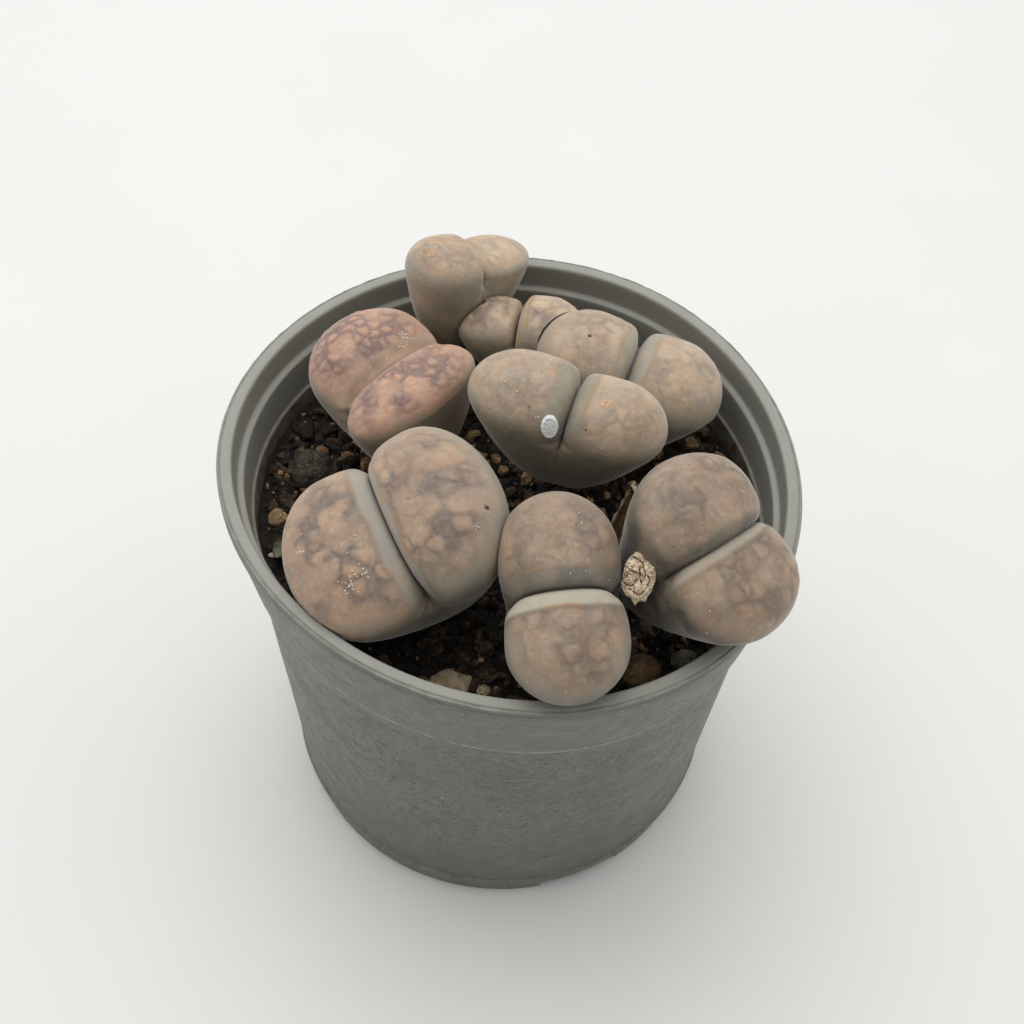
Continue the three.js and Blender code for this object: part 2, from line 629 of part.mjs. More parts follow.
function seedlingSolid(swell) {
  const leaf = fromDirections({ detail: 1 }, (direction) => new THREE.Vector3(
    direction.x * (SEEDLING.leafLength / 2 + swell),
    direction.y * (SEEDLING.leafWidth / 2 + swell) * (1 - 0.25 * direction.x),
    direction.z * (SEEDLING.leafThick / 2 + swell)));
  leaf.rotateY(-THREE.MathUtils.degToRad(SEEDLING.lean));
  leaf.translate(1.2, 0, 2.2);
  const stem = new THREE.CylinderGeometry(SEEDLING.stem + swell, SEEDLING.stem + swell, 6, 8);
  stem.rotateX(Math.PI / 2);
  stem.translate(0, 0, -1.4);
  return toSolid(leaf).add(toSolid(stem));
}

const lithops = new THREE.Group();
lithops.name = 'potted_lithops';
lithops.add(makePot());
lithops.add(makeSoil([
  dryLeafSolid(SOIL_GAP),
  twigSolid(SOIL_GAP),
  placed(seedlingSolid(SOIL_GAP), seedlingMatrix()),
]));
const rim = rimSpace();
for (const head of HEADS) lithops.add(makeHead(head, rim));
for (const stone of STONES) lithops.add(makeStone(stone));
lithops.add(makeCapsule());
lithops.add(makeDryLeaf());
lithops.add(makeFleck());
lithops.add(makeMesh('twig', toGeometry(twigSolid(0)), 0x4a3b2c, 0.9));
lithops.add(makeMesh('seedling', toGeometry(seedlingSolid(0)), 0x6f8a4e, 0.55, seedlingMatrix()));

export default lithops;
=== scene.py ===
import math
from itertools import combinations, product

import bpy
import numpy as np
from mathutils import Matrix, Quaternion, Vector
from mathutils.bvhtree import BVHTree


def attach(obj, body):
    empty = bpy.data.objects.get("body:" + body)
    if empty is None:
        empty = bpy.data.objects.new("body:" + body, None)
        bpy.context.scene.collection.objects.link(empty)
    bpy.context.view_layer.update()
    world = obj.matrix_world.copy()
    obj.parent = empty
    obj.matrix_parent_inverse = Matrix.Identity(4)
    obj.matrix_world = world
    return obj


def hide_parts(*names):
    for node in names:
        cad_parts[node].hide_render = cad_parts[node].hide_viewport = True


# Potted lithops. Lengths here are millimetres, with +Z up and the origin under the middle of the rim, and
# settle() turns each finished piece into metres.
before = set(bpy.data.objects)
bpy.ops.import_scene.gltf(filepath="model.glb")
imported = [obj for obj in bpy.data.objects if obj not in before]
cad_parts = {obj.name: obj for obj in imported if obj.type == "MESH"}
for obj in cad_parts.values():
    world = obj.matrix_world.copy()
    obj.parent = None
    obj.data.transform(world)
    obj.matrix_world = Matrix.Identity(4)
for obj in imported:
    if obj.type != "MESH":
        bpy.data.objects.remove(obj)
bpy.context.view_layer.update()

METRES = 0.001

# Pot
RIM_RADIUS = 45
RIM_HEIGHT = 78
RIM_WIDTH = 2.4
RIM_COLLAR = 2.4
RIM_LIP = 0.7
RIM_BURR = 0.09
RIM_SQUEEZE = 1.6
RIM_DIP = 1.36
RIM_SPACE_SEGMENTS = 120
BAND_HEIGHT = 16
BAND_LOW_RADIUS = 42.7
BAND_STEP = 1.2
BAND_FADE = 4.5
FOOT_BAND_HEIGHT = 5.6
FOOT_BAND_RADIUS = 38.7
FOOT_BAND_STEP = 0.4
BASE_RADIUS = 37.6
FOOT_RING_WIDTH = 3.2
FLOOR_UNDERSIDE = 1.8
FLOOR_TOP = 3.4
INNER_FLOOR_RADIUS = 36
UPPER_LEDGE_DEPTH = 4.4
UPPER_LEDGE_WIDTH = 1.0
LOWER_LEDGE_DEPTH = 10.6
LOWER_LEDGE_WIDTH = 0.5
INNER_WALL_SLOPE = 0.075
DRAIN_HOLES = 5
DRAIN_HOLE_RADIUS = 3.2
DRAIN_HOLE_CIRCLE = 24
DRAIN_HOLE_SEGMENTS = 48
FOOT_NOTCHES = 3
FOOT_NOTCH_WIDTH = 15
FOOT_NOTCH_HEIGHT = 3.1
FOOT_NOTCH_CORNER = 1.2
FOOT_NOTCH_TURN = -66
POT_SEGMENTS = 384
POT_ROUNDING = 0.3
POT_SPACING = 0.8
HIDDEN_SPACING = 5.0

# Scratches on the pot's wall: height and strength
SCRATCHES = ((69, 0.44), (50, 0.32), (30, 0.28))

band_foot = RIM_HEIGHT - BAND_HEIGHT
collar_foot = RIM_HEIGHT - RIM_COLLAR
inner_rim_radius = RIM_RADIUS - RIM_WIDTH
upper_wall_foot = inner_rim_radius - UPPER_LEDGE_DEPTH * INNER_WALL_SLOPE
upper_ledge_edge = upper_wall_foot - UPPER_LEDGE_WIDTH
upper_ledge_height = RIM_HEIGHT - UPPER_LEDGE_DEPTH
lower_wall_foot = upper_ledge_edge - (LOWER_LEDGE_DEPTH - UPPER_LEDGE_DEPTH) * INNER_WALL_SLOPE
lower_ledge_edge = lower_wall_foot - LOWER_LEDGE_WIDTH
lower_ledge_height = RIM_HEIGHT - LOWER_LEDGE_DEPTH

# Soil and what lies on it
SOIL_DEPTH_UNDER_RIM = 14
SOIL_GAP = 0.35
SOIL_HOLE_GAP = 0.12
SOIL_UNEVENNESS = 0.9
SOIL_TOP = RIM_HEIGHT - SOIL_DEPTH_UNDER_RIM
SOIL_SEGMENTS = 400
SOIL_RINGS = 84

# Heads: how each leaf and body is shaped
LEAF_GAP = 0.35
TOUCH_GAP = 0.1
FISSURE_OVERLAP = 0.12
ROOT_DEPTH = 6
LEAF_MIDDLE = 0.42
CROWN_POWER = 2.2
UNDERSIDE_POWER = 1.7
FISSURE_EDGE_END = 6
FISSURE_EDGE_BELOW = 24
UNDERSIDE_DRAW = 0.45
BODY_HALF = 0.92
BODY_WIDTH = 0.72
BODY_TOP = 2
BODY_DROP = 3
SOFT_HEIGHTS = (-4, -0.8)
SOFT_ROUNDS = 110
FACE_CROWDING = 0.45
NEIGHBOUR_DETAIL = 24
BODY_DETAIL = 20

# Each place is the middle of the head at its widest level, over the rim by its height. Lean is how far the
# axis goes to +X and +Y for each unit up, and turn is where the fissure points, in degrees from +X. A leaf
# is (half length along the fissure, width across from it, crown height, width of the smooth strip beside it,
# strength of the ridge line along that strip). Taper is how far the leaves reach down, fullness how full the
# body is, and edge how crisp the leaves' edges along the fissure are. Net is the spacing and strength of the
# channels on the faces, lobes are the size and strength of the low bumps between them, depth is how deep
# both are, and wide_crease is the least width of the creases round the bumps, as a share of their size.
# Strips is how pale the strip of each leaf is, and bloom is how pale the smooth upper skin round its face
# is, partly its pale waxy coat and partly a painted highlight.
# Slope is how far the first leaf's crown comes down towards the fissure, and over what width. Face_from is
# the height, as a share of the crown, where the face begins. Pits are (x, y, height over the rim, radius,
# depth), and detail is how finely the leaves are divided.
HEADS = {
    "head_back_left": dict(
        place=(-8.2, 34.0), height=7.5, lean=(0.12, 0.22), turn=126, taper=27, fullness=1.7, salt=1,
        leaves=((6.7, 10.3, 5.1, 0.7, 0.3), (5.7, 12.2, 2.8, 2.2, 0.8)), edge=12, pressed_by=(), detail=36,
        net=(3.4, 0.5), lobes=(2.4, 0.45), depth=0.07, face_from=0.55, look="amber"),
    "head_left": dict(
        place=(-17.7, 11.4), height=3, lean=(-0.24, 0.07), turn=40.5, taper=21, fullness=1.15, salt=2,
        leaves=((10.5, 17.0, 7.4, 2.1, 0.2), (11.6, 10.0, 4.4, 0.4, 0.0)), edge=34, slope=(3.0, 3.6),
        pressed_by=("head_back_left",), detail=48, net=(3.2, 0.4), lobes=(2.0, 1.15), depth=0.17,
        wide_crease=0.15, face_from=0.25, look="pink"),
    "head_back_small": dict(
        place=(1.2, 26.2), height=1, lean=(0.0, 0.1), turn=79, taper=14, fullness=1.15, salt=3,
        leaves=((5.6, 10.8, 4.4, 0.7, 0.4), (6.0, 10.9, 5.9, 1.6, 0.9)), edge=4.2,
        pressed_by=("head_back_left", "head_back_right"), detail=34, net=(3.2, 0.75), lobes=(2.4, 0.5),
        depth=0.08, face_from=0.5, look="amber"),
    "head_back_right": dict(
        place=(18.8, 15.8), height=2, lean=(0.21, 0.12), turn=73.5, taper=16, fullness=1.15, salt=4,
        leaves=((8.8, 15.3, 7.3, 2.5, 0.5), (9.2, 15.4, 7.3, 2.6, 0.8)), edge=4.5,
        pressed_by=("head_centre",), detail=38, net=(4.2, 0.3), lobes=(2.8, 0.6), depth=0.1, face_from=0.4,
        look="tan", pits=((11.6, 15.8, 8.2, 0.3, 0.16),)),
    "head_centre": dict(
        place=(9.3, 1.9), height=8.5, lean=(0.08, -0.08), turn=74, taper=20, fullness=1.15, salt=5,
        leaves=((7.5, 16.3, 6.2, 3.3, 0.7), (7.2, 14.8, 6.1, 2.4, 1.0)), edge=4.2, pressed_by=(), detail=41,
        net=(4.2, 0.3), lobes=(2.8, 0.6), depth=0.1, face_from=0.36, strips=(0.5, 0.5), look="tan",
        pits=((11.2, -4.5, 11.9, 0.22, 0.1),)),
    "head_front_left": dict(
        place=(-15.2, -19.7), height=5.5, lean=(-0.29, -0.28), turn=112, taper=20, fullness=1.75, salt=6,
        leaves=((13.1, 17.5, 7.4, 2.6, 0.9), (13.5, 16.2, 8.6, 1.3, 1.0)), edge=10, pressed_by=(), detail=44,
        net=(4.6, 0.35), lobes=(2.9, 1.0), depth=0.14, face_from=(0.27, 0.56), bloom_and_highlight=(0.5, 0.9),
        look="beige", pits=((-2.7, -21.3, 14.4, 0.27, 0.2), (-13.5, -20.5, 14.6, 0.2, 0.1))),
    "head_front_middle": dict(
        place=(8.1, -31.0), height=7, lean=(-0.04, -0.32), turn=7.5, taper=18, fullness=1.3, salt=7,
        leaves=((8.6, 15.4, 6.6, 2.8, 0.5), (8.6, 14.9, 5.8, 2.4, 0.9)), edge=10,
        pressed_by=("head_front_left",), detail=41, net=(4.0, 0.45), lobes=(2.8, 0.75), depth=0.12,
        face_from=(0.42, 0.52), strips=(0.2, 1), bloom_and_highlight=(0.5, 0.9), look="brown"),
    "head_right": dict(
        place=(28.9, -23.5), height=9.6, lean=(0.46, -0.25), turn=38, taper=19, fullness=1.7, salt=8,
        leaves=((10.4, 13.9, 7.0, 1.3, 0.1), (10.6, 14.1, 5.8, 1.6, 0.5)), edge=10, pressed_by=(), detail=44,
        net=(4.2, 0.4), lobes=(2.9, 0.85), depth=0.15, face_from=(0.37, 0.3), strips=(0.1, 0.8),
        bloom_and_highlight=(0.0, 0.1), look="brown"),
}

# Stones on the soil: middle, full size along, across and up, turn in degrees, how far each is sunk, and look
STONES = {
    "stone_dark_left": ((-32.0, 6.2), (8.2, 7.6, 5.6), 20, 0.35, "mossy"),
    "stone_tan_left": ((-36.9, -3.1), (3.2, 2.6, 2.2), 70, 0.3, "tan"),
    "stone_white_left": ((-36.8, -10.6), (1.5, 1.3, 1.2), 10, 0.3, "pale"),
    "stone_tan_front": ((-7.5, -33.4), (7.0, 4.6, 3.6), 8, 0.35, "pored"),
    "stone_light_front": ((-2.6, -34.0), (2.5, 2.1, 2.0), 50, 0.3, "pored"),
    "stone_brown_right": ((21.0, -29.9), (6.2, 5.4, 4.4), 60, 0.35, "brown"),
    "stone_grey_right": ((27.3, -27.2), (3.8, 3.2, 2.6), 30, 0.3, "grey"),
}
STONE_SLOTS = {
    "mossy": "stone_dark", "brown": "stone_dark", "grey": "stone_dark",
    "tan": "stone_tan", "pored": "stone_tan", "pale": "stone_pale",
}
LARGE_STONE = 4
LARGE_STONE_DETAIL = 24
STONE_DETAIL = 14

# Chips: the share of all chips, the least and greatest length, the least and greatest width as a share of
# the length, and the least thickness as a share of the width
CHIP_KINDS = {
    "chips_dark": dict(share=0.46, lengths=(0.8, 3.6), slims=(0.3, 0.7), thick=0.4),
    "chips_brown": dict(share=0.33, lengths=(0.7, 3.8), slims=(0.25, 0.7), thick=0.35),
    "chips_tan": dict(share=0.21, lengths=(0.6, 2.9), slims=(0.5, 0.95), thick=0.6),
}
CHIP_COUNT = 4600
COARSE_CHIP = 1.9
CHIP_LEAST_THICK = 0.35
CHIP_TILT = 0.4
FEW_PALE_CHIPS_BEFORE = -8
SEED = 77

# Small pieces. The husk is drawn flat: folds are (depth, route), tips are (direction in degrees, reach,
# breadth), and bumps are (middle, half size, height).
CAPSULE = dict(
    place=(18.4, -29.0), height=10.2, facing=(-0.35, -0.6, 0.75), roll=-21, half=4.2, width=2.4, thick=1.1)
HUSK_DETAIL = 46
HUSK_CROWDING = 0.6
STALK_RADII = (0.8, 1.0)
STALK_HEIGHTS = (-7.5, -0.6)
STALK_SEGMENTS = 32
HUSK_FOLDS = (
    (1.0, ((-1.5, 2.3), (-0.6, 2.25), (0.2, 1.7), (0.8, 0.9), (1.0, 0.0))),
    (1.0, ((-0.1, 1.1), (0.15, 0.4), (0.3, -0.2), (0.8, -0.7))),
    (0.8, ((-1.7, 0.8), (-1.1, 0.55), (-0.3, 0.5))),
    (0.9, ((-2.5, -0.7), (-1.8, -1.4), (-1.1, -1.6), (-0.3, -1.2), (0.0, -0.5))),
    (0.8, ((0.0, -2.1), (0.7, -2.4), (1.3, -1.8))),
    (0.8, ((1.4, 0.4), (1.7, -0.2), (1.6, -0.9))),
    (0.6, ((-1.0, -0.1), (-1.5, 0.1), (-1.3, -0.6))),
    (0.6, ((-1.3, 3.3), (-1.1, 2.8))),
)
HUSK_TIPS = ((104, 0.2, 0.36), (-78, 0.16, 0.16), (-46, 0.14, 0.14), (158, 0.06, 0.3))
HUSK_BUMPS = (
    (-1.15, 0.2, 0.95, 1.3, 0.42), (0.75, 0.6, 0.4, 1.5, 0.3), (0.35, -1.55, 0.55, 0.75, 0.34),
    (1.75, 0.3, 0.45, 1.7, 0.26), (-0.7, 2.6, 0.8, 0.7, 0.25), (-0.6, -2.6, 0.8, 0.5, 0.2),
)
FLECK = dict(
    place=(5.9, -3.7), height=11.4, facing=(0.1, -0.85, 0.5), roll=95, half=1.85, width=1.3, thick=0.9)
DRY_LEAF_WIDTH = 3.2
DRY_LEAF_THICK = 0.5
DRY_LEAF_STEPS = 14
DRY_LEAF_COLUMNS = 25
DRY_LEAF_ROUTE = (
    (17.0, -7.2, -14.6), (17.8, -7.0, -9), (19.2, -5.6, -4.5), (19.9, -4.6, -2.2), (19.0, -3.8, -0.9))
TWIG_RADIUS = 0.45
TWIG_SIDES = 14
TWIG_STEPS = 10
TWIG_ROUTE = (
    (-1.8, -32.4, -14.2), (-1.4, -32.2, -13.1), (-0.2, -31.8, -12.4), (1.0, -32.4, -12.6),
    (0.6, -33.4, -13.2))
SEEDLING = dict(
    place=(-34.8, -9.2), length=6.0, width=2.8, thick=1.0, lean=28, turn=262,
    leaf_place=(1.2, 0, 2.2), stem_radius=0.5, stem_heights=(-4.4, 1.6))
SMALL_DETAIL = 18

# Marks on the heads: the crystals of each head are (x, y, spread, count), and scars are (head, x, y, half
# length, half width, turn in degrees)
CRYSTAL_CLUSTERS = {
    "head_left": ((-16.8, 17.3, 1.1, 26), (-17.6, 15.2, 0.7, 12), (-19.3, 12.6, 0.3, 5)),
    "head_front_left": (
        (-21.2, -30.0, 1.3, 34), (-20.5, -24.7, 0.5, 8), (-28.9, -24.9, 0.8, 8), (-19.0, -29.3, 0.7, 12),
        (-4.4, -24.3, 0.5, 7)),
    "head_back_small": ((4.6, 25.4, 0.9, 10),),
    "head_centre": ((1.2, 1.0, 4.5, 22),),
    "head_front_middle": ((8.0, -26.5, 3.6, 8),),
}
SCAR_RINGS = (("head_centre", 14.0, -0.9, 0.65, 0.42, 0), ("head_back_left", -13.2, 29.9, 0.42, 0.3, 51.57))
SCAR_STEPS = 28
SCAR_SIDES = 8
SCAR_BREADTH = 0.19
SCAR_HEIGHT = 0.07
CRYSTAL_SIZES = (0.04, 0.12)
SEEN_FROM = RIM_HEIGHT + 40

# Camera: its place in metres, and the ways that its right, its down and its view point
CAMERA_PLACE = (0, -0.142268, 0.250414)
CAMERA_RIGHT = (0.99947679, 0.02323432, 0.02250156)
CAMERA_DOWN = (0.032118, -0.79509453, -0.60563448)
CAMERA_AHEAD = (0.00381936, 0.60604031, -0.79542476)
CAMERA_LENS = 50.88
SENSOR_WIDTH = 36

# Light and floor: the lamp's lengths are metres
LAMP_PLACE = (-0.15, 0.3, 0.9)
LAMP_TARGET = (0, 0.02, 0.03)
LAMP_SIZE = 0.8
LAMP_POWER = 2.2
SKY_TINT = (1.0, 0.995, 0.98)
SKY_ZENITH = 1.12
SKY_SIDE = 0.85
SKY_FRONT = 0.16
SKY_TILT = 0.55
FLOOR_HALF = 2500


# Repeatable noise
def fraction(value):
    return value - np.floor(value)


def lattice(i, j, k, salt):
    return fraction(np.sin(i * 127.1 + j * 311.7 + k * 74.7 + salt * 53.3) * 43758.5453)


def smooth_step(low, high, value):
    share = np.clip((value - low) / (high - low), 0, 1)
    return share * share * (3 - 2 * share)


def mix(a, b, share):
    return a + (b - a) * share


def on_plane(u, v):
    """Points with the given first and second measures and 0 as the third."""
    return np.column_stack([u, v, 0 * u])


def turns(count):
    """Angles that divide a full turn evenly."""
    return 2 * np.pi * np.arange(count) / count


def turned(points, degrees, axis="Z"):
    return points @ np.array(Matrix.Rotation(math.radians(degrees), 3, axis)).T


def wander(points, salt):
    """Smooth noise between 0 and 1 at each point."""
    cell = np.floor(points)
    share = points - cell
    share = share * share * (3 - 2 * share)
    value = 0
    for steps in product((0, 1), repeat=3):
        weight = 1
        for axis, step in enumerate(steps):
            weight = weight * (share[:, axis] if step else 1 - share[:, axis])
        value = value + weight * lattice(*(cell + steps).T, salt)
    return value


def rough(points, size, salt, octaves=3):
    """Noise of several sizes, about -0.5 to 0.5."""
    total = 0
    weight = 0
    for octave in range(octaves):
        strength = 0.5 ** octave
        total = total + strength * (wander(points * (2 ** octave / size), salt + 7 * octave) - 0.5)
        weight += strength
    return total / weight


def lobe_net(points, cell, salt):
    """A net of cells: how far each point is from a border, and from its cell's middle."""
    scaled = points / cell
    home = np.floor(scaled)
    nearest = np.full(len(points), np.inf)
    second = nearest
    for steps in product((-1, 0, 1), repeat=3):
        corner = home + steps
        jitter = [0.5 + 0.8 * (lattice(*corner.T, salt + 10 * number) - 0.5) for number in range(3)]
        distance = np.linalg.norm(corner + np.stack(jitter, 1) - scaled, axis=1)
        second = np.minimum(second, np.maximum(distance, nearest))
        nearest = np.minimum(nearest, distance)
    return (second - nearest) * cell / 2, nearest * cell


def shifted(points, size, amount, salt):
    """The points, each moved about by noise of the given size, to make a pattern wander."""
    moves = [wander(points / size, salt + number) - 0.5 for number in range(3)]
    return points + amount * np.stack(moves, 1)


# Meshes
def ball(frequency, crowding=0.0):
    """Unit directions and triangles of a divided icosahedron, closer together on top with crowding."""
    golden = (1 + math.sqrt(5)) / 2
    corners = []
    for a, b in product((-1, 1), (-golden, golden)):
        corners += [(0, a, b), (a, b, 0), (b, 0, a)]
    corners = np.array(corners) / math.hypot(1, golden)
    gaps = np.linalg.norm(corners[:, None] - corners[None], axis=2)
    edge = gaps[gaps > 0.1].min() * 1.01
    steps = [(i, j) for i in range(frequency + 1) for j in range(frequency + 1 - i)]
    number = {step: n for n, step in enumerate(steps)}
    shares = np.array([(frequency - i - j, i, j) for i, j in steps]) / frequency
    small = [(number[i, j], number[i + 1, j], number[i, j + 1]) for i, j in steps if i + j < frequency]
    small += [
        (number[i + 1, j], number[i + 1, j + 1], number[i, j + 1]) for i, j in steps if i + j < frequency - 1
    ]
    points = []
    triangles = []
    for face in combinations(range(len(corners)), 3):
        if gaps[np.ix_(face, face)].max() > edge:
            continue
        order = face if np.linalg.det(corners[list(face)]) > 0 else (face[0], face[2], face[1])
        triangles.append(np.array(small) + len(points) * len(steps))
        points.append(shares @ corners[list(order)])
    points = np.concatenate(points)
    points /= np.linalg.norm(points, axis=1)[:, None]
    unused, first, same = np.unique((points * 1e5).round(), axis=0, return_index=True, return_inverse=True)
    directions = points[first] + (0, 0, crowding)
    directions /= np.linalg.norm(directions, axis=1)[:, None]
    return directions, same.reshape(-1)[np.concatenate(triangles)]


def grid_faces(rows, columns, rows_close=False, columns_close=True):
    """Four-sided faces between the neighbouring rows and columns of a grid of points."""
    row = np.arange(rows if rows_close else rows - 1)[:, None]
    column = np.arange(columns if columns_close else columns - 1)[None]
    here = row * columns
    next_row = (row + 1) % rows * columns
    next_column = (column + 1) % columns
    corners = (here + column, here + next_column, next_row + next_column, next_row + column)
    return np.stack(corners, -1).reshape(-1, 4)


def halved(faces):
    return np.concatenate([faces[:, [0, 1, 2]], faces[:, [0, 2, 3]]])


def capped_faces(rows, sides):
    """Triangles of a closed tube of rings, with its two end points after the rings."""
    here = np.arange(sides)
    after = (here + 1) % sides
    last = (rows - 1) * sides
    start = np.column_stack([np.full(sides, rows * sides), after, here])
    end = np.column_stack([np.full(sides, rows * sides + 1), last + here, last + after])
    return np.concatenate([halved(grid_faces(rows, sides)), start, end])


def vertex_normals(points, triangles):
    a, b, c = (points[triangles[:, corner]] for corner in range(3))
    across = np.cross(b - a, c - a)
    normals = np.zeros_like(points)
    for corner in range(3):
        for axis in range(3):
            normals[:, axis] += np.bincount(triangles[:, corner], across[:, axis], len(points))
    return normals / np.maximum(np.linalg.norm(normals, axis=1), 1e-12)[:, None]


def make_object(name, points, faces):
    """A new object with faces that all have the same number of corners."""
    points = np.asarray(points, float)
    faces = np.asarray(faces)
    mesh = bpy.data.meshes.new(name)
    mesh.vertices.add(len(points))
    mesh.vertices.foreach_set("co", points.ravel())
    mesh.loops.add(faces.size)
    mesh.loops.foreach_set("vertex_index", faces.ravel())
    mesh.polygons.add(len(faces))
    mesh.polygons.foreach_set("loop_start", np.arange(len(faces)) * faces.shape[1])
    mesh.update(calc_edges=True)
    made = bpy.data.objects.new(name, mesh)
    bpy.context.scene.collection.objects.link(made)
    return made


def points_of(piece):
    flat = np.empty(len(piece.data.vertices) * 3)
    piece.data.vertices.foreach_get("co", flat)
    return flat.reshape(-1, 3)


def move_points(piece, points):
    piece.data.vertices.foreach_set("co", np.asarray(points, float).ravel())
    piece.data.update()


def combine(piece, other, operation):
    """Joins another closed object to the piece, or cuts it away, and removes it."""
    modifier = piece.modifiers.new("combine", "BOOLEAN")
    modifier.operation = operation
    modifier.solver = "MANIFOLD"
    modifier.object = other
    mesh = bpy.data.meshes.new_from_object(piece.evaluated_get(bpy.context.evaluated_depsgraph_get()))
    piece.modifiers.clear()
    old = piece.data
    piece.data = mesh
    bpy.data.meshes.remove(old)
    bpy.data.objects.remove(other)


def soften(piece, share, rounds):
    """Moves each point towards the middle of its neighbours again and again, by its own share."""
    ends = np.empty(len(piece.data.edges) * 2, np.int32)
    piece.data.edges.foreach_get("vertices", ends)
    a, b = ends.reshape(-1, 2).T
    points = points_of(piece)
    count = len(points)
    links = np.bincount(a, minlength=count) + np.bincount(b, minlength=count)
    for unused in range(rounds):
        for axis in range(3):
            line = points[:, axis]
            middle = (np.bincount(a, line[b], count) + np.bincount(b, line[a], count)) / links
            points[:, axis] = line + 0.5 * share * (middle - line)
    move_points(piece, points)


def set_field(piece, name, values):
    """Stores one number for each vertex, for the material to read."""
    field = piece.data.attributes.new(name, "FLOAT", "POINT")
    field.data.foreach_set("value", np.asarray(values, float))


def settle(piece, slot, surface, *nodes, sharp_angle=60):
    """Gives a finished piece its shading, material, metres and body, and hides the CAD parts that it stands
    for. Its slot is not used.
    """
    piece.data.polygons.foreach_set("use_smooth", np.ones(len(piece.data.polygons), bool))
    piece.data.set_sharp_from_angle(angle=math.radians(sharp_angle))
    piece.data.materials.clear()
    piece.data.materials.append(surface)
    move_points(piece, points_of(piece) * METRES)
    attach(piece, "root")
    if nodes:
        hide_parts(*nodes)
    return piece


def rounded(corners, rounding, spacing):
    """A profile with rounded corners, and with points no further apart than the spacing."""
    corners = [np.array(corner, float) for corner in corners]
    path = [corners[0]]
    for before, corner, after in zip(corners, corners[1:], corners[2:]):
        back = before - corner
        ahead = after - corner
        start = corner + back * min(rounding / np.linalg.norm(back), 0.45)
        end = corner + ahead * min(rounding / np.linalg.norm(ahead), 0.45)
        for share in (0, 0.33, 0.67, 1):
            path.append(mix(mix(start, corner, share), mix(corner, end, share), share))
    path.append(corners[-1])
    points = [path[0]]
    for point in path[1:]:
        gap = spacing(point) if callable(spacing) else spacing
        steps = max(1, math.ceil(np.linalg.norm(point - points[-1]) / gap))
        start = points[-1]
        points += [mix(start, point, step / steps) for step in range(1, steps + 1)]
    return np.array(points)


def spun(name, profile, segments, closed=False):
    """A solid turned round the Z axis. The profile runs from axis to axis, or closes on itself."""
    angles = turns(segments)
    ring = np.stack([np.cos(angles), np.sin(angles)], 1)
    rings = profile if closed else profile[1:-1]
    points = [np.column_stack([ring * radius, np.full(segments, height)]) for radius, height in rings]
    if closed:
        faces = halved(grid_faces(len(rings), segments, rows_close=True))
        return make_object(name, np.concatenate(points), faces)
    points.append(np.array([(0, 0, profile[0][1]), (0, 0, profile[-1][1])]))
    return make_object(name, np.concatenate(points), capped_faces(len(rings), segments))


def pressed_out_of_round(points):
    """The soft pot is pressed into a slight oval at the rim, and stays true at the base."""
    share = points[:, 2] / RIM_HEIGHT
    twice = np.sin(2 * np.arctan2(points[:, 1], points[:, 0]))
    grow = 1 - share * (RIM_SQUEEZE / RIM_RADIUS) * twice
    near_rim = np.minimum(1, np.hypot(points[:, 0], points[:, 1]) / RIM_RADIUS)
    height = points[:, 2] + share * RIM_DIP * twice * near_rim
    return np.column_stack([points[:, 0] * grow, points[:, 1] * grow, height])


def smooth_route(route, steps):
    """Points along a smooth curve through the route's points, given over the rim."""
    knots = np.array([(x, y, RIM_HEIGHT + z) for x, y, z in route], float)
    knots = np.vstack([2 * knots[0] - knots[1], knots, 2 * knots[-1] - knots[-2]])
    points = []
    for a, b, c, d in zip(knots, knots[1:], knots[2:], knots[3:]):
        for t in np.arange(steps) / steps:
            points.append(0.5 * (2 * b + (c - a) * t + (2 * a - 5 * b + 4 * c - d) * t ** 2
                                 + (3 * b - a - 3 * c + d) * t ** 3))
    return np.array(points + [knots[-2]])


def route_frames(points, up):
    """The direction, the side and the face of a strip at each point of its route."""
    ahead = np.gradient(points, axis=0)
    ahead /= np.linalg.norm(ahead, axis=1)[:, None]
    side = np.cross(ahead, up)
    side /= np.maximum(np.linalg.norm(side, axis=1), 1e-6)[:, None]
    return ahead, side, np.cross(side, ahead)


# Materials
def paint(red, green, blue):
    """A colour given as it looks on a screen, from 0 to 255."""
    values = []
    for value in (red, green, blue):
        share = value / 255
        values.append(share / 12.92 if share <= 0.04045 else ((share + 0.055) / 1.055) ** 2.4)
    return (*values, 1)


class Nodes:
    """Short calls that add shader nodes to a tree and join them."""

    def __init__(self, tree):
        self.tree = tree

    def node(self, kind, inputs, **settings):
        made = self.tree.nodes.new("ShaderNode" + kind)
        for name, value in settings.items():
            setattr(made, name, value)
        for name, value in inputs.items():
            if isinstance(value, bpy.types.NodeSocket):
                self.tree.links.new(value, made.inputs[name])
            else:
                made.inputs[name].default_value = value
        return made

    def ramp(self, value, low, high, to_low=0.0, to_high=1.0):
        """A soft step of the value between low and high, in either order."""
        if low > high:
            low, high, to_low, to_high = high, low, to_high, to_low
        inputs = {"Value": value, "From Min": low, "From Max": high, "To Min": to_low, "To Max": to_high}
        return self.node("MapRange", inputs, interpolation_type="SMOOTHSTEP").outputs["Result"]

    def maths(self, operation, *values):
        return self.node("Math", dict(enumerate(values)), operation=operation).outputs[0]


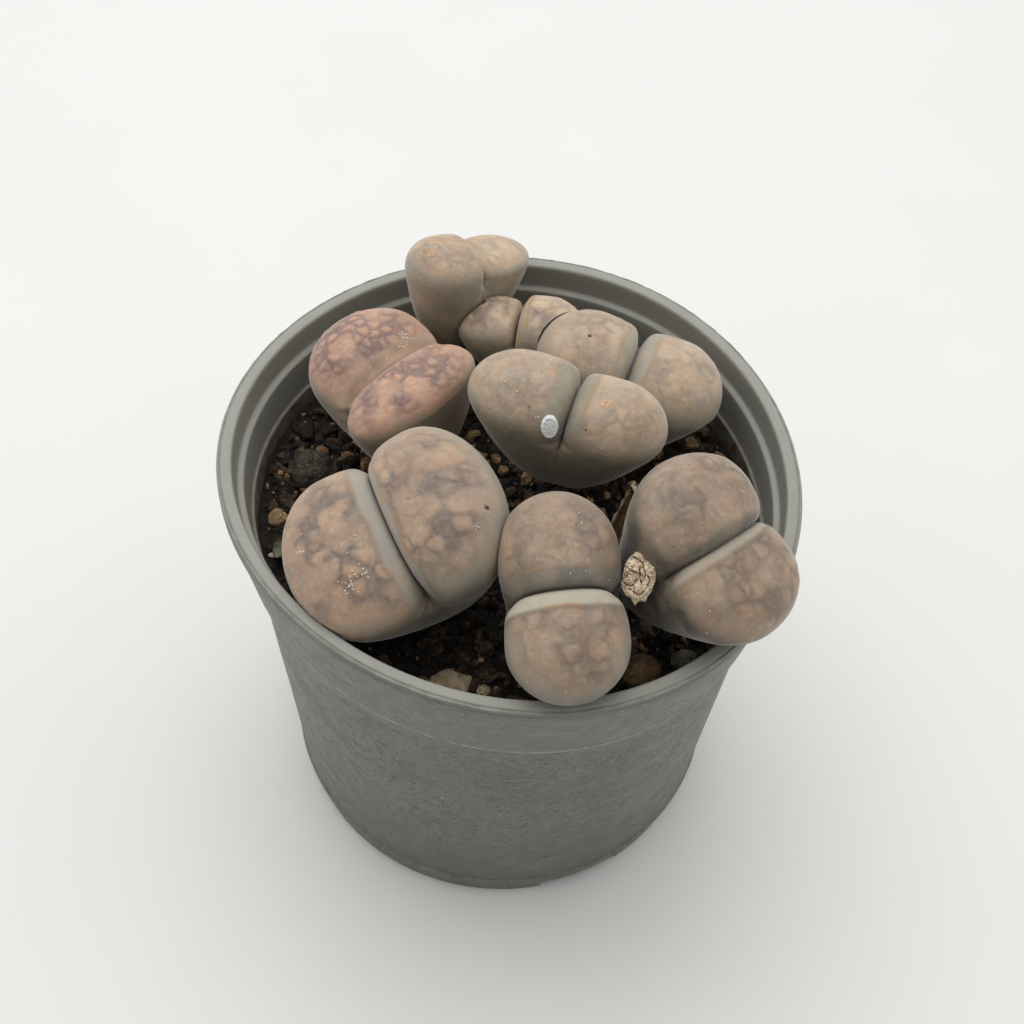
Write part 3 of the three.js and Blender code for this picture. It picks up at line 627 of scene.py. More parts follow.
class Surface(Nodes):
    """One procedural material. Its sizes are in millimetres."""

    def __init__(self, name, **settings):
        self.material = bpy.data.materials.new(name)
        self.material.use_nodes = True
        super().__init__(self.material.node_tree)
        self.shader = self.tree.nodes["Principled BSDF"]
        for socket, value in settings.items():
            self.shader.inputs[socket.replace("_", " ")].default_value = value
        place = self.tree.nodes.new("ShaderNodeTexCoord").outputs["Object"]
        self.place = self.node("VectorMath", {0: place, "Scale": 1 / METRES}, operation="SCALE").outputs[0]
        self.colour = None
        self.normal = None

    def noise(self, size, detail, stretch=None, distortion=0.0, roughness=0.5):
        where = self.place
        if stretch:
            where = self.node("VectorMath", {0: where, 1: stretch}, operation="MULTIPLY").outputs[0]
        inputs = {"Vector": where, "Scale": 1 / size, "Detail": detail, "Distortion": distortion}
        return self.node("TexNoise", {**inputs, "Roughness": roughness}).outputs[0]

    def patches(self, size, detail, low=0.35, high=0.65, to_low=0.0, to_high=1.0, **look):
        """Soft-edged patches of noise."""
        return self.ramp(self.noise(size, detail, **look), low, high, to_low, to_high)

    def cells(self, size):
        """How far each place is from its cell's middle, and a number from 0 to 1 for the cell."""
        cells = self.node("TexVoronoi", {"Vector": self.place, "Scale": 1 / size}).outputs
        return cells["Distance"], self.node("SeparateColor", {0: cells["Color"]}).outputs[0]

    def specks(self, size, radius, share):
        """Small round spots, on the given share of a grid of cells."""
        away, number = self.cells(size)
        return self.times(self.ramp(away, radius, radius * 0.4), self.maths("LESS_THAN", number, share))

    def field(self, name):
        return self.node("Attribute", {}, attribute_name=name).outputs["Fac"]

    def times(self, first, *others):
        for other in others:
            first = self.maths("MULTIPLY", first, other)
        return first

    def spread(self, value, low, high):
        """A value from 0 to 1, turned into one from low to high."""
        return self.node("MapRange", {"Value": value, "To Min": low, "To Max": high}).outputs["Result"]

    def band(self, value, middle, half):
        """1 where the value is at the middle, and 0 where it is half or more away from it."""
        away = self.maths("ABSOLUTE", self.maths("SUBTRACT", value, middle))
        return self.ramp(away, half, 0.0)

    def coat(self, under, over, *shares):
        """One colour over another, by all the shares multiplied together."""
        tones = [paint(*tone) if isinstance(tone, tuple) else tone for tone in (under, over)]
        inputs = {0: self.times(*shares), 6: tones[0], 7: tones[1]}
        return self.node("Mix", inputs, data_type="RGBA").outputs[2]

    def over(self, tone, *shares):
        """A coat over the surface's colour so far."""
        self.colour = self.coat(self.colour, tone, *shares)

    def bump(self, height, depth):
        """Adds fine relief. Depth is in millimetres for a height of 1."""
        inputs = {"Height": height, "Distance": depth * METRES, "Strength": 1.0}
        if self.normal:
            inputs["Normal"] = self.normal
        self.normal = self.node("Bump", inputs).outputs[0]

    def finish(self, roughness=None):
        for value, name in ((self.colour, "Base Color"), (roughness, "Roughness"), (self.normal, "Normal")):
            if value:
                self.tree.links.new(value, self.shader.inputs[name])
        return self.material


LEAF_LOOKS = {
    "beige": dict(island=(188, 161, 135), warm=(192, 151, 119), cool=(168, 152, 138),
                  channel=(110, 100, 95), side=(118, 115, 103), strip=(158, 152, 142)),
    "tan": dict(island=(196, 174, 149), warm=(192, 158, 123), cool=(181, 165, 149),
                channel=(122, 111, 102), side=(136, 131, 116), strip=(156, 149, 134)),
    "brown": dict(island=(173, 151, 128), warm=(178, 143, 111), cool=(156, 141, 129),
                  channel=(104, 93, 86), side=(76, 73, 64), strip=(186, 178, 161)),
    "amber": dict(island=(210, 186, 158), warm=(212, 174, 132), cool=(190, 172, 154),
                  channel=(108, 96, 92), side=(150, 142, 127), strip=(176, 154, 126)),
    "pink": dict(island=(210, 168, 142), warm=(214, 160, 128), cool=(196, 166, 150),
                 channel=(130, 107, 101), side=(166, 154, 137), strip=(150, 124, 99)),
}
RIDGE_COLOUR = (170, 130, 88)
FISSURE_SHADE_COLOUR = (52, 42, 32)
PIT_COLOUR = (62, 48, 36)
SOIL_SHADE_COLOUR = (72, 62, 48)
PALE_ISLAND_COLOUR = (212, 190, 164)
BLOOM_AND_HIGHLIGHT_COLOUR = (182, 174, 160)
WINDOW_COLOUR = (184, 184, 164)
DUST_COLOUR = (226, 218, 200)


def leaf_surface(name, look):
    """Matte leaf skin: soft islands and channels on the face, smooth grey-green sides, specks and pits.
    Painted shade darkens the skin low down and along the fissure, and a painted highlight pales the upper
    skin round the face.
    """
    s = Surface("leaf_" + name, Roughness=0.6, Subsurface_Weight=0.1, Subsurface_Scale=METRES,
                Sheen_Weight=0.5, Sheen_Roughness=0.3)
    s.shader.inputs["Subsurface Radius"].default_value = (1.2, 0.7, 0.5)
    island = s.coat(look["island"], look["warm"], s.patches(2.8, 4, 0.45, 0.66, roughness=0.6), 0.8)
    island = s.coat(island, look["cool"], s.patches(2.1, 4, 0.5, 0.68, roughness=0.62), 0.5)
    island = s.coat(island, PALE_ISLAND_COLOUR, s.patches(1.15, 3, 0.54, 0.72), 0.34)
    island = s.coat(island, look["warm"], s.field("dome"), 0.22)
    frayed = s.spread(s.noise(0.7, 3, roughness=0.65), 0.3, 1.5)
    skin = s.coat(island, look["channel"], s.field("channel"), frayed)
    skin = s.coat(skin, look["channel"], frayed, 0.85, s.field("crease"))
    # Painted highlight: the upper skin round the face is painted paler, partly for its pale waxy coat.
    smooth_skin = s.coat(look["side"], BLOOM_AND_HIGHLIGHT_COLOUR, s.field("bloom_and_highlight"), 0.6)
    smooth_skin = s.coat(smooth_skin, look["strip"], s.field("strip"))
    smooth_skin = s.coat(smooth_skin, look["island"], s.patches(4, 4), 0.34)
    smooth_skin = s.coat(smooth_skin, WINDOW_COLOUR, s.specks(1.0, 0.22, 0.6), 0.2)
    face = s.field("face")
    s.colour = s.coat(smooth_skin, skin, face)
    fine = s.patches(0.42, 3, 0.3, 0.7, roughness=0.6)
    s.over(look["channel"], fine, s.spread(face, 0.05, 0.22))
    s.over(RIDGE_COLOUR, s.field("line"), 0.75)
    # Painted shade: the skin darkens and browns towards the soil, low on each head.
    s.over(SOIL_SHADE_COLOUR, s.field("low"), s.patches(2.5, 4, 0.2, 0.7, 0.5, 1.0), 0.75)
    # Painted shade: a dark line along the fissure between the two leaves.
    s.over(FISSURE_SHADE_COLOUR, s.field("fissure_shade"), 0.85)
    pits = s.times(s.specks(2.2, 0.075, 0.4), s.spread(face, 0.3, 0.8))
    s.over(PIT_COLOUR, pits, 0.75)
    s.over(PIT_COLOUR, s.ramp(s.field("pit"), 0.02, 0.1))
    dust = s.specks(1.7, 0.1, 0.36)
    s.over(DUST_COLOUR, dust, 0.75)
    for height, depth in ((s.noise(0.9, 3), 0.09), (s.noise(0.22, 2), 0.022), (pits, -0.1), (dust, 0.08)):
        s.bump(height, depth)
    return s.finish(s.patches(2.2, 3, 0.3, 0.7, 0.5, 0.66))


def pot_surface():
    """Soft grey moulded plastic: leathery grain, worn edges, fine scratches, and soil stains inside. The
    rim's top and the inside are painted paler as painted light, and the outside's edges carry painted
    highlights and shade.
    """
    s = Surface("pot_plastic", Roughness=0.5)
    outside = s.field("outside")
    inside = s.maths("SUBTRACT", 1.0, outside)
    height = s.field("height")
    on_wall = s.times(outside, s.ramp(height, RIM_HEIGHT - 0.7, RIM_HEIGHT - 1.3))
    below_band = s.ramp(height, band_foot + 1.5, band_foot - 0.5, 0.55, 1.0)
    grain = s.noise(0.85, 3, stretch=(1, 1, 1.8), distortion=0.6)
    coarse = s.noise(1.7, 2, stretch=(1, 1, 0.7), distortion=0.8)
    patchy = s.patches(9, 2, 0.35, 0.6, 0.75, 1.0)
    s.colour = s.coat((119, 120, 112), (125, 126, 118), s.patches(11, 4))
    # Painted light: the rim's flat top and the whole inside are painted paler than the wall, for the light
    # that falls on them.
    flat = s.times(s.ramp(height, RIM_HEIGHT - 0.5, RIM_HEIGHT - 0.15), s.spread(patchy, 0.3, 0.8))
    s.over((158, 158, 150), s.maths("MAXIMUM", flat, s.times(inside, 0.9)))
    shown = s.times(s.spread(on_wall, 0.12, 1.0), patchy, below_band)
    s.over((84, 84, 76), s.times(shown, 0.75), s.ramp(grain, 0.46, 0.36))
    s.over((174, 175, 166), s.times(shown, 0.32), s.ramp(grain, 0.58, 0.68))
    foot = s.times(outside, s.ramp(height, 36, 2))
    s.over((106, 104, 92), foot, s.spread(s.noise(6, 3), 0.3, 0.8))
    rub_and_lighting = s.patches(2.2, 4, 0.36, 0.62, stretch=(1, 1, 0.4))
    grime = s.patches(4.5, 4, 0.4, 0.6, stretch=(1, 1, 0.3))
    # Lines round the outside: pale lines at the band's and the foot band's edges, partly scuffs and partly
    # painted highlight; a darker brownish line on the lip's rounding, painted shade that dims its highlight;
    # and grime below it.
    for middle, half, scuff_and_lighting, tone in (
        (band_foot + 0.35, 0.75, s.spread(rub_and_lighting, 0.3, 0.9), (168, 169, 162)),
        (FOOT_BAND_HEIGHT + 0.1, 0.3, s.spread(rub_and_lighting, 0.0, 0.3), (166, 166, 156)),
        (RIM_HEIGHT - 0.3, 0.3, s.spread(rub_and_lighting, 0.4, 0.0), (104, 98, 86)),
        (RIM_HEIGHT - 0.8, 0.4, s.times(grime, 0.45), (96, 84, 66)),
    ):
        s.over(tone, s.times(outside, s.band(height, middle, half)), scuff_and_lighting)
    wobble = s.maths("ADD", height, s.spread(s.noise(26, 2), -5, 5))
    for middle, strength in SCRATCHES:
        scratch = s.times(s.band(wobble, middle, 0.22), s.patches(8, 2, 0.42, 0.62), on_wall)
        s.over((190, 191, 186), scratch, strength)
    scuffs = s.times(s.specks(6, 0.06, 0.6), s.patches(1.1, 3, 0.4, 0.6))
    s.over((198, 199, 194), scuffs, 0.7)
    holes = s.times(s.specks(6.5, 0.055, 0.6), outside)
    s.over((30, 28, 25), holes, 0.9)
    dirt = s.patches(2.4, 4, 0.35, 0.7, stretch=(1, 1, 0.5))
    stain = s.times(inside, s.ramp(height, lower_ledge_height + 0.6, lower_ledge_height - 0.8))
    s.over((74, 64, 52), stain, s.spread(dirt, 0.5, 0.95))
    ledge = s.times(inside, s.band(height, lower_ledge_height, 0.6))
    s.over((138, 124, 104), ledge, s.spread(dirt, 0.15, 0.7))
    s.bump(s.times(coarse, shown), 0.35)
    s.bump(s.times(grain, shown), 0.5)
    s.bump(s.noise(0.25, 2), 0.02)
    s.bump(holes, -0.3)
    return s.finish(s.patches(3, 3, 0.3, 0.7, 0.44, 0.6))


def soil_surface():
    """Dark gritty potting mix."""
    s = Surface("soil_mix", Roughness=0.92)
    away, number = s.cells(1.3)
    s.colour = s.coat((14, 11, 8), (38, 29, 21), s.ramp(number, 0.1, 0.9))
    s.over((14, 11, 8), s.patches(0.5, 4, 0.45, 0.75))
    s.over((130, 102, 72), s.specks(2.1, 0.2, 0.2), 0.5)
    s.bump(s.noise(0.9, 5), 0.5)
    s.bump(away, -0.4)
    return s.finish()


def grain_surface(name, dark, middle, light, roughness=0.85):
    """Chips, grit and stones: mixed tones from piece to piece, with a fine broken grain."""
    s = Surface(name, Roughness=roughness)
    s.colour = s.coat(dark, middle, s.patches(3.1, 3))
    s.over(light, s.patches(0.55, 4, 0.5, 0.75))
    s.over(dark, s.specks(0.7, 0.25, 0.3), 0.6)
    s.bump(s.noise(0.35, 4), 0.12)
    return s.finish()


def pored_surface(name, base, pale, pore):
    """Light pebble with dark pores."""
    s = Surface(name, Roughness=0.85)
    pores = s.specks(0.62, 0.3, 0.45)
    s.colour = s.coat(s.coat(base, pale, s.patches(1.8, 4)), pore, pores, 0.85)
    s.bump(pores, -0.15)
    s.bump(s.noise(0.3, 3), 0.06)
    return s.finish()


def capsule_surface():
    """Dry crumpled husk: cream on the folds, with painted shade, dark brown, in the crevices and underneath.
    """
    s = Surface("dry_husk", Roughness=0.75)
    s.colour = s.coat((180, 150, 116), (224, 202, 170), s.patches(0.7, 3))
    s.over((244, 232, 210), s.patches(0.26, 3, 0.44, 0.64))
    s.over((120, 88, 58), s.patches(0.33, 4, 0.46, 0.34), 0.75)
    # Painted shade: the crevices, and the underside and stalk, are painted dark brown.
    broken = s.maths("ADD", s.field("crevice_shade"), s.spread(s.noise(0.4, 3), -0.15, 0.15))
    s.over((84, 54, 32), s.ramp(broken, 0.3, 0.8), 0.88)
    s.bump(s.noise(0.26, 3), 0.16)
    return s.finish()


def paper_surface():
    """Papery dead leaf, brown with a light dry edge, made brighter still as a painted highlight."""
    s = Surface("dry_paper", Roughness=0.7)
    s.colour = s.coat((70, 50, 32), (128, 99, 68), s.patches(1.6, 4, stretch=(1, 1, 0.4)))
    # The light edge: the dry edge's own pale colour, brightened as a painted highlight.
    s.over((236, 216, 182), s.field("edge"), 0.95)
    s.bump(s.noise(0.5, 3, stretch=(1, 1, 0.3)), 0.12)
    return s.finish()


def fleck_surface():
    """Grainy white crust with a brighter raised rim."""
    s = Surface("white_crust", Roughness=0.7)
    grains = s.patches(0.28, 3)
    s.colour = s.coat((220, 222, 224), (236, 238, 239), grains)
    s.over((244, 246, 247), s.field("edge"))
    s.bump(grains, 0.06)
    return s.finish()


def twig_surface():
    s = Surface("dry_bark", Roughness=0.85)
    s.colour = s.coat((44, 32, 24), (104, 82, 62), s.patches(0.6, 4, 0.35, 0.7, stretch=(0.4, 1, 1)))
    s.bump(s.noise(0.3, 3, stretch=(0.3, 1, 1)), 0.12)
    return s.finish()


def seedling_surface():
    """Plump green leaf with tiny clear windows."""
    s = Surface("seedling_skin", Roughness=0.5, Subsurface_Weight=0.05, Subsurface_Scale=METRES)
    s.colour = s.coat((76, 80, 56), (102, 106, 78), s.patches(1.8, 3))
    s.over((70, 92, 62), s.specks(0.6, 0.2, 0.5), 0.4)
    s.bump(s.noise(0.4, 3), 0.05)
    return s.finish()


def crystal_surface():
    s = Surface("dried_salt", Roughness=0.35)
    s.colour = s.coat((206, 188, 158), (244, 234, 214), s.patches(0.3, 2))
    return s.finish()


def scar_surface():
    s = Surface("leaf_scar", Roughness=0.65)
    s.colour = s.coat((190, 134, 92), (232, 192, 154), s.patches(0.35, 3))
    return s.finish()


def floor_surface():
    s = Surface("pale_floor", Roughness=0.6)
    s.bump(s.noise(0.6, 2), 0.01)
    s.colour = s.coat((232, 232, 231), (234, 234, 233), s.patches(60, 3, 0.3, 0.7))
    return s.finish()


# Pot
def inner_radius(height):
    return mix(INNER_FLOOR_RADIUS, lower_ledge_edge, (height - FLOOR_TOP) / (lower_ledge_height - FLOOR_TOP))


def outer_radius(height):
    outline = (
        (0, BASE_RADIUS), (FOOT_BAND_HEIGHT, FOOT_BAND_RADIUS),
        (FOOT_BAND_HEIGHT + 0.1, FOOT_BAND_RADIUS - FOOT_BAND_STEP),
        (band_foot - 0.1, BAND_LOW_RADIUS - BAND_STEP), (band_foot, BAND_LOW_RADIUS),
        (collar_foot, RIM_RADIUS), (RIM_HEIGHT, RIM_RADIUS),
    )
    return np.interp(height, *np.transpose(outline))


def pot_profile():
    foot_inner = BASE_RADIUS - FOOT_RING_WIDTH
    return [
        (0, FLOOR_UNDERSIDE), (foot_inner - 0.6, FLOOR_UNDERSIDE), (foot_inner, 0), (BASE_RADIUS, 0),
        (FOOT_BAND_RADIUS, FOOT_BAND_HEIGHT), (FOOT_BAND_RADIUS - FOOT_BAND_STEP, FOOT_BAND_HEIGHT + 0.3),
        (BAND_LOW_RADIUS - BAND_STEP - 0.2, band_foot - BAND_FADE),
        (BAND_LOW_RADIUS - 0.35, band_foot - 0.35), (BAND_LOW_RADIUS - 0.1, band_foot),
        (RIM_RADIUS - 0.35, collar_foot - 0.7), (RIM_RADIUS, collar_foot), (RIM_RADIUS, RIM_HEIGHT - 0.4),
        (RIM_RADIUS - 0.25, RIM_HEIGHT - 0.1), (RIM_RADIUS - 0.5, RIM_HEIGHT - 0.35),
        (RIM_RADIUS - RIM_LIP, RIM_HEIGHT), (inner_rim_radius + 0.3, RIM_HEIGHT),
        (inner_rim_radius, RIM_HEIGHT - 0.35), (upper_wall_foot, upper_ledge_height),
        (upper_ledge_edge, upper_ledge_height - 0.15), (lower_wall_foot, lower_ledge_height),
        (lower_ledge_edge, lower_ledge_height - 0.1), (INNER_FLOOR_RADIUS, FLOOR_TOP), (0, FLOOR_TOP),
    ]


def pot_spacing(point):
    """Fine where the pot's outside and upper inside show, and coarse where soil hides it."""
    radius, height = point
    hidden = radius < outer_radius(height) - 1.5 and height < SOIL_TOP - 1
    under_floor = radius < BASE_RADIUS - FOOT_RING_WIDTH - 1
    return HIDDEN_SPACING if hidden or under_floor else POT_SPACING


def make_pot():
    pot = spun("pot_moulding", rounded(pot_profile(), POT_ROUNDING, pot_spacing), POT_SEGMENTS)
    bore = rounded([(0, -2), (DRAIN_HOLE_RADIUS, -2), (DRAIN_HOLE_RADIUS, 8), (0, 8)], 0.2, 20)
    for angle in turns(DRAIN_HOLES):
        hole = spun("drain_hole", bore, DRAIN_HOLE_SEGMENTS)
        middle = np.array([math.cos(angle), math.sin(angle), 0]) * DRAIN_HOLE_CIRCLE
        move_points(hole, points_of(hole) + middle)
        combine(pot, hole, "DIFFERENCE")
    for angle in turns(FOOT_NOTCHES):
        combine(pot, notch_cutter(angle + math.radians(FOOT_NOTCH_TURN)), "DIFFERENCE")
    true = points_of(pot)
    radius = np.hypot(true[:, 0], true[:, 1])
    height = true[:, 2]
    gap_outside = np.abs(radius - outer_radius(height))
    wall_inside = np.where(height > lower_ledge_height, upper_ledge_edge, inner_radius(height))
    outside = np.where(gap_outside < np.abs(radius - wall_inside), 1.0, 0.0)
    on_wall = outside * smooth_step(2, 4, height) * (1 - smooth_step(RIM_HEIGHT - 3, RIM_HEIGHT - 1, height))
    relief = 0.05 * rough(true, 6, 81) + 0.05 * rough(true * (1, 1, 1.4), 2.2, 82)
    grow = 1 + on_wall * relief / np.maximum(radius, 1)
    on_lip = smooth_step(RIM_RADIUS - RIM_LIP, RIM_RADIUS - 0.3, radius)
    on_lip = on_lip * smooth_step(-0.6, -0.2, height - RIM_HEIGHT)
    burr = on_lip * np.minimum(RIM_BURR, 0.3 * rough(true * (1, 1, 0), 1.1, 83))
    moved = np.column_stack([true[:, 0] * grow, true[:, 1] * grow, height + burr])
    move_points(pot, pressed_out_of_round(moved))
    set_field(pot, "outside", outside)
    set_field(pot, "height", height)
    return settle(pot, "pot_plastic", pot_surface(), "pot", sharp_angle=40)


def notch_cutter(angle):
    """A block with rounded upper corners that cuts one shallow notch through the foot ring."""
    half = FOOT_NOTCH_WIDTH / 2
    corner = np.radians(np.linspace(0, 90, 7))
    out = half - FOOT_NOTCH_CORNER * (1 - np.cos(corner))
    up = FOOT_NOTCH_HEIGHT - FOOT_NOTCH_CORNER * (1 - np.sin(corner))
    outline = [(-half, -1), (half, -1), *zip(out, up), *zip(-out[::-1], up[::-1])]
    along = np.array([math.cos(angle), math.sin(angle), 0])
    across = np.array([-math.sin(angle), math.cos(angle), 0])
    ends = [along * reach for reach in (BASE_RADIUS - 2.6 * FOOT_RING_WIDTH, BASE_RADIUS + FOOT_RING_WIDTH)]
    points = [end + across * x + (0, 0, z) for end in ends for x, z in outline]
    return make_object("notch", points + ends, capped_faces(2, len(outline)))


# Heads
def head_matrix(head):
    """From a head's own frame to the pot's: its axes are along the fissure, across it and up the head."""
    axis = Vector((*head["lean"], 1)).normalized()
    turn = math.radians(head["turn"])
    along = Vector((math.cos(turn), math.sin(turn), 0))
    along = (along - axis * along.dot(axis)).normalized()
    across = axis.cross(along)
    place = Vector((*head["place"], RIM_HEIGHT + head["height"]))
    return np.array([[*along, 0], [*across, 0], [*axis, 0], [*place, 1]]).T


def to_pot(head, points):
    matrix = head_matrix(head)
    return points @ matrix[:3, :3].T + matrix[:3, 3]


def to_head(head, points):
    matrix = head_matrix(head)
    return (points - matrix[:3, 3]) @ matrix[:3, :3]


def leaf_points(head, leaf, side, swell, directions):
    """One leaf: an egg, full on top and drawn in below, with a rounded edge along the fissure."""
    half, width, crown = leaf[:3]
    middle = LEAF_MIDDLE * width
    x, y, z = directions.T
    below = smooth_step(0, 0.4, -z)
    inner = width * mix(1, 1.8, below) + swell
    across = np.where(side * y > 0, width - middle + swell, inner)
    flat = np.hypot(x / (half + swell), y / across)
    power = np.where(z > 0, CROWN_POWER, UNDERSIDE_POWER)
    rise = np.abs(z) / np.where(z > 0, crown + swell, head["taper"] + swell)
    reach = (flat ** power + rise ** power) ** (-1 / power)
    wall = (middle + FISSURE_OVERLAP + swell) / np.maximum(-side * y, 1e-4)
    towards_end = smooth_step(0.5, 1, np.abs(x) * wall / half)
    edge = mix(mix(head["edge"], FISSURE_EDGE_END, towards_end), FISSURE_EDGE_BELOW, below)
    reach = reach * (1 + (reach / wall) ** edge) ** (-1 / edge)
    points = directions * reach[:, None]
    points[:, 1] += side * middle
    if side > 0 and "slope" in head:
        fall, breadth = head["slope"]
        lowered = fall * np.exp(-(points[:, 1] / breadth) ** 2)
        points[:, 2] -= lowered * smooth_step(0, 0.7, points[:, 2] / crown)
    points[:, 1] *= 1 - UNDERSIDE_DRAW * np.clip(-points[:, 2] / (head["taper"] + swell), 0, 1)
    return points


def body_points(head, swell, directions):
    """The undivided body under the two leaves: a cone down to its root end in the soil."""
    leaves = head["leaves"]
    half = BODY_HALF * min(leaves[0][0], leaves[1][0]) + swell
    slant = math.hypot(*head["lean"], 1)
    low = (head["height"] + SOIL_DEPTH_UNDER_RIM + ROOT_DEPTH) * slant - BODY_DROP + swell
    x, y, z = directions.T
    across = BODY_WIDTH * np.where(y > 0, leaves[0][1], leaves[1][1]) + swell
    flat = np.hypot(x / half, y / across)
    rise = np.abs(z) / np.where(z > 0, BODY_TOP, low)
    power = np.where(z > 0, 2, head["fullness"])
    reach = (flat ** power + rise ** power) ** (-1 / power)
    return directions * reach[:, None] - (0, 0, BODY_DROP)


def sides_of(head):
    """The two leaves, each with the side of the fissure that it is on."""
    return zip(head["leaves"], (1, -1))


def fused(piece, *others):
    for other in others:
        combine(piece, other, "UNION")
    return piece


def plain_head(name, swell):
    """A head without its relief, swollen by a gap, to cut its neighbours and its hole in the soil."""
    head = HEADS[name]
    directions, triangles = ball(NEIGHBOUR_DETAIL)
    solids = [leaf_points(head, leaf, side, swell, directions) for leaf, side in sides_of(head)]
    solids.append(body_points(head, swell, directions))
    return fused(*[make_object("plain", to_pot(head, points), triangles) for points in solids])


def cut_by_heads(piece, names, gap):
    for name in names:
        combine(piece, plain_head(name, gap), "DIFFERENCE")


def distance_to_route(points, route):
    """How far each point is from a line of joined stretches."""
    best = np.full(len(points), np.inf)
    for start, end in zip(route, route[1:]):
        stretch = end - start
        share = np.clip((points - start) @ stretch / (stretch @ stretch), 0, 1)
        best = np.minimum(best, np.linalg.norm(points - start - share[:, None] * stretch, axis=1))
    return best


def winding_lines(points, size, breadth, salt):
    """Soft winding lines, about as far apart as the given size: 1 along their middle, and 0 beside them."""
    return np.exp(-(rough(points, size, salt, 2) * 2.2 * size / (2 * breadth)) ** 2)


def head_fields(head, local):
    """What the skin of a head is like at each point in its own frame, as named shares from 0 to 1."""
    salt = head["salt"]
    x, y, z = local.T
    first = y > 0
    half, unused, crown, strip, ridge = (np.where(first, *pair) for pair in zip(*head["leaves"]))
    away = np.abs(y)
    line_at = strip + 0.6 * (wander(on_plane(x / 3.1, 3 * first), salt + 61) - 0.5)
    past_line = away - line_at
    face_from = np.where(first, *np.broadcast_to(head["face_from"], 2))
    face = smooth_step(face_from - 0.26, face_from + 0.26, z / crown + 0.5 * rough(local, 4, salt + 41))
    strips = np.where(first, *head.get("strips", (1, 1)))
    bloom_and_highlight = np.where(first, *head.get("bloom_and_highlight", (0.4, 0.4)))
    inward = smooth_step(0.35, 0.85, z / crown)
    size, net = head["net"]
    wandering = shifted(local, 1.3, 0.7, salt + 44)
    breadth = mix(0.22, 0.7, wander(local / 2.1, salt + 46))
    winding = winding_lines(wandering, size, breadth, salt + 20)
    side_lines = winding_lines(wandering, 0.62 * size, 0.6 * breadth, salt + 30)
    present = smooth_step(0.22, 0.58, wander(local / 3.8, salt + 47))
    lobe, lobes = head["lobes"]
    border, middle = lobe_net(shifted(local, 1.5, 0.8, salt + 55), lobe, salt + 3)
    lobed = mix(0.25, 1, smooth_step(0.32, 0.58, wander(local / 3.6, salt + 57))) * mix(0.35, 1, inward)
    crease = lobe * mix(head.get("wide_crease", 0.07), 0.29, wander(local / 1.8, salt + 58))
    on_crown = (1 - smooth_step(0.5, 0.85, np.abs(x) / half)) * smooth_step(0.15, 0.5, z / crown)
    broken = smooth_step(0.3, 0.65, wander(on_plane(x / 1.9, 5 * first), salt + 65))
    pit = 0 * x
    for *place, height, radius, depth in head.get("pits", ()):
        spot = to_head(head, np.array([*place, RIM_HEIGHT + height]))
        distance = np.hypot(x - spot[0], y - spot[1])
        pit = np.maximum(pit, np.where(z > 0, np.exp(-(distance / radius) ** 2), 0) * depth)
    return {
        "face": face * smooth_step(-0.6, 1.0, past_line),
        "channel": net * present * mix(0.35, 1, inward) * np.maximum(winding, 0.7 * side_lines),
        "crease": lobes * lobed * np.exp(-(border / crease) ** 2),
        "dome": lobes * lobed * np.clip(1 - (1.25 * middle / lobe) ** 2, 0, 1),
        "line": ridge * on_crown * broken * np.exp(-(past_line / 0.24) ** 2),
        "strip": strips * (1 - smooth_step(-0.5, 0.5, past_line)) * smooth_step(-0.2, 0.4, z / crown),
        # Painted shade along the fissure, fading out down the body.
        "fissure_shade": np.exp(-(away / 0.2) ** 2) * smooth_step(-0.3 * head["taper"], 0, z),
        "pit": pit,
        # Pale upper skin round the face: partly its waxy coat and partly a painted highlight.
        "bloom_and_highlight": bloom_and_highlight * smooth_step(0, 2, past_line) * smooth_step(-0.05, 0.5, z / crown),
    }


def head_relief(head, local):
    """How far the skin is raised at each point, in millimetres."""
    fields = head_fields(head, local)
    net = head["depth"] * (1.3 * fields["dome"] - 0.8 * fields["channel"] - 0.5 * fields["crease"] - 0.2)
    uneven = 0.14 * rough(local, 2.2, head["salt"] + 75)
    undulation = 0.35 * rough(local, 9, head["salt"] + 71, 2)
    return fields["face"] * (net + uneven) + 0.07 * fields["line"] - fields["pit"] + undulation


def make_leaf(head, leaf, side):
    directions, triangles = ball(head["detail"], FACE_CROWDING)
    points = leaf_points(head, leaf, side, 0, directions)
    shown = side * points[:, 1] > 0.02
    relief = np.where(shown, head_relief(head, points), 0)
    points = points + vertex_normals(points, triangles) * relief[:, None]
    return make_object("leaf", to_pot(head, points), triangles)


def rim_space():
    """The space that the rim and the upper wall take, with the gap that a leaf leaning on them keeps."""
    low = lower_ledge_height - 6
    profile = [
        (inner_radius(low) - LEAF_GAP, low), (RIM_RADIUS, low),
        (RIM_RADIUS + LEAF_GAP, RIM_HEIGHT - BAND_STEP), (RIM_RADIUS, RIM_HEIGHT + LEAF_GAP),
        (inner_rim_radius + 0.2, RIM_HEIGHT + LEAF_GAP), (inner_rim_radius - LEAF_GAP, RIM_HEIGHT),
        (upper_wall_foot - LEAF_GAP, upper_ledge_height + LEAF_GAP),
        (upper_ledge_edge - LEAF_GAP, upper_ledge_height), (lower_ledge_edge - LEAF_GAP, lower_ledge_height),
    ]
    ring = spun("rim_space", np.array(profile, float), RIM_SPACE_SEGMENTS, closed=True)
    move_points(ring, pressed_out_of_round(points_of(ring)))
    return ring


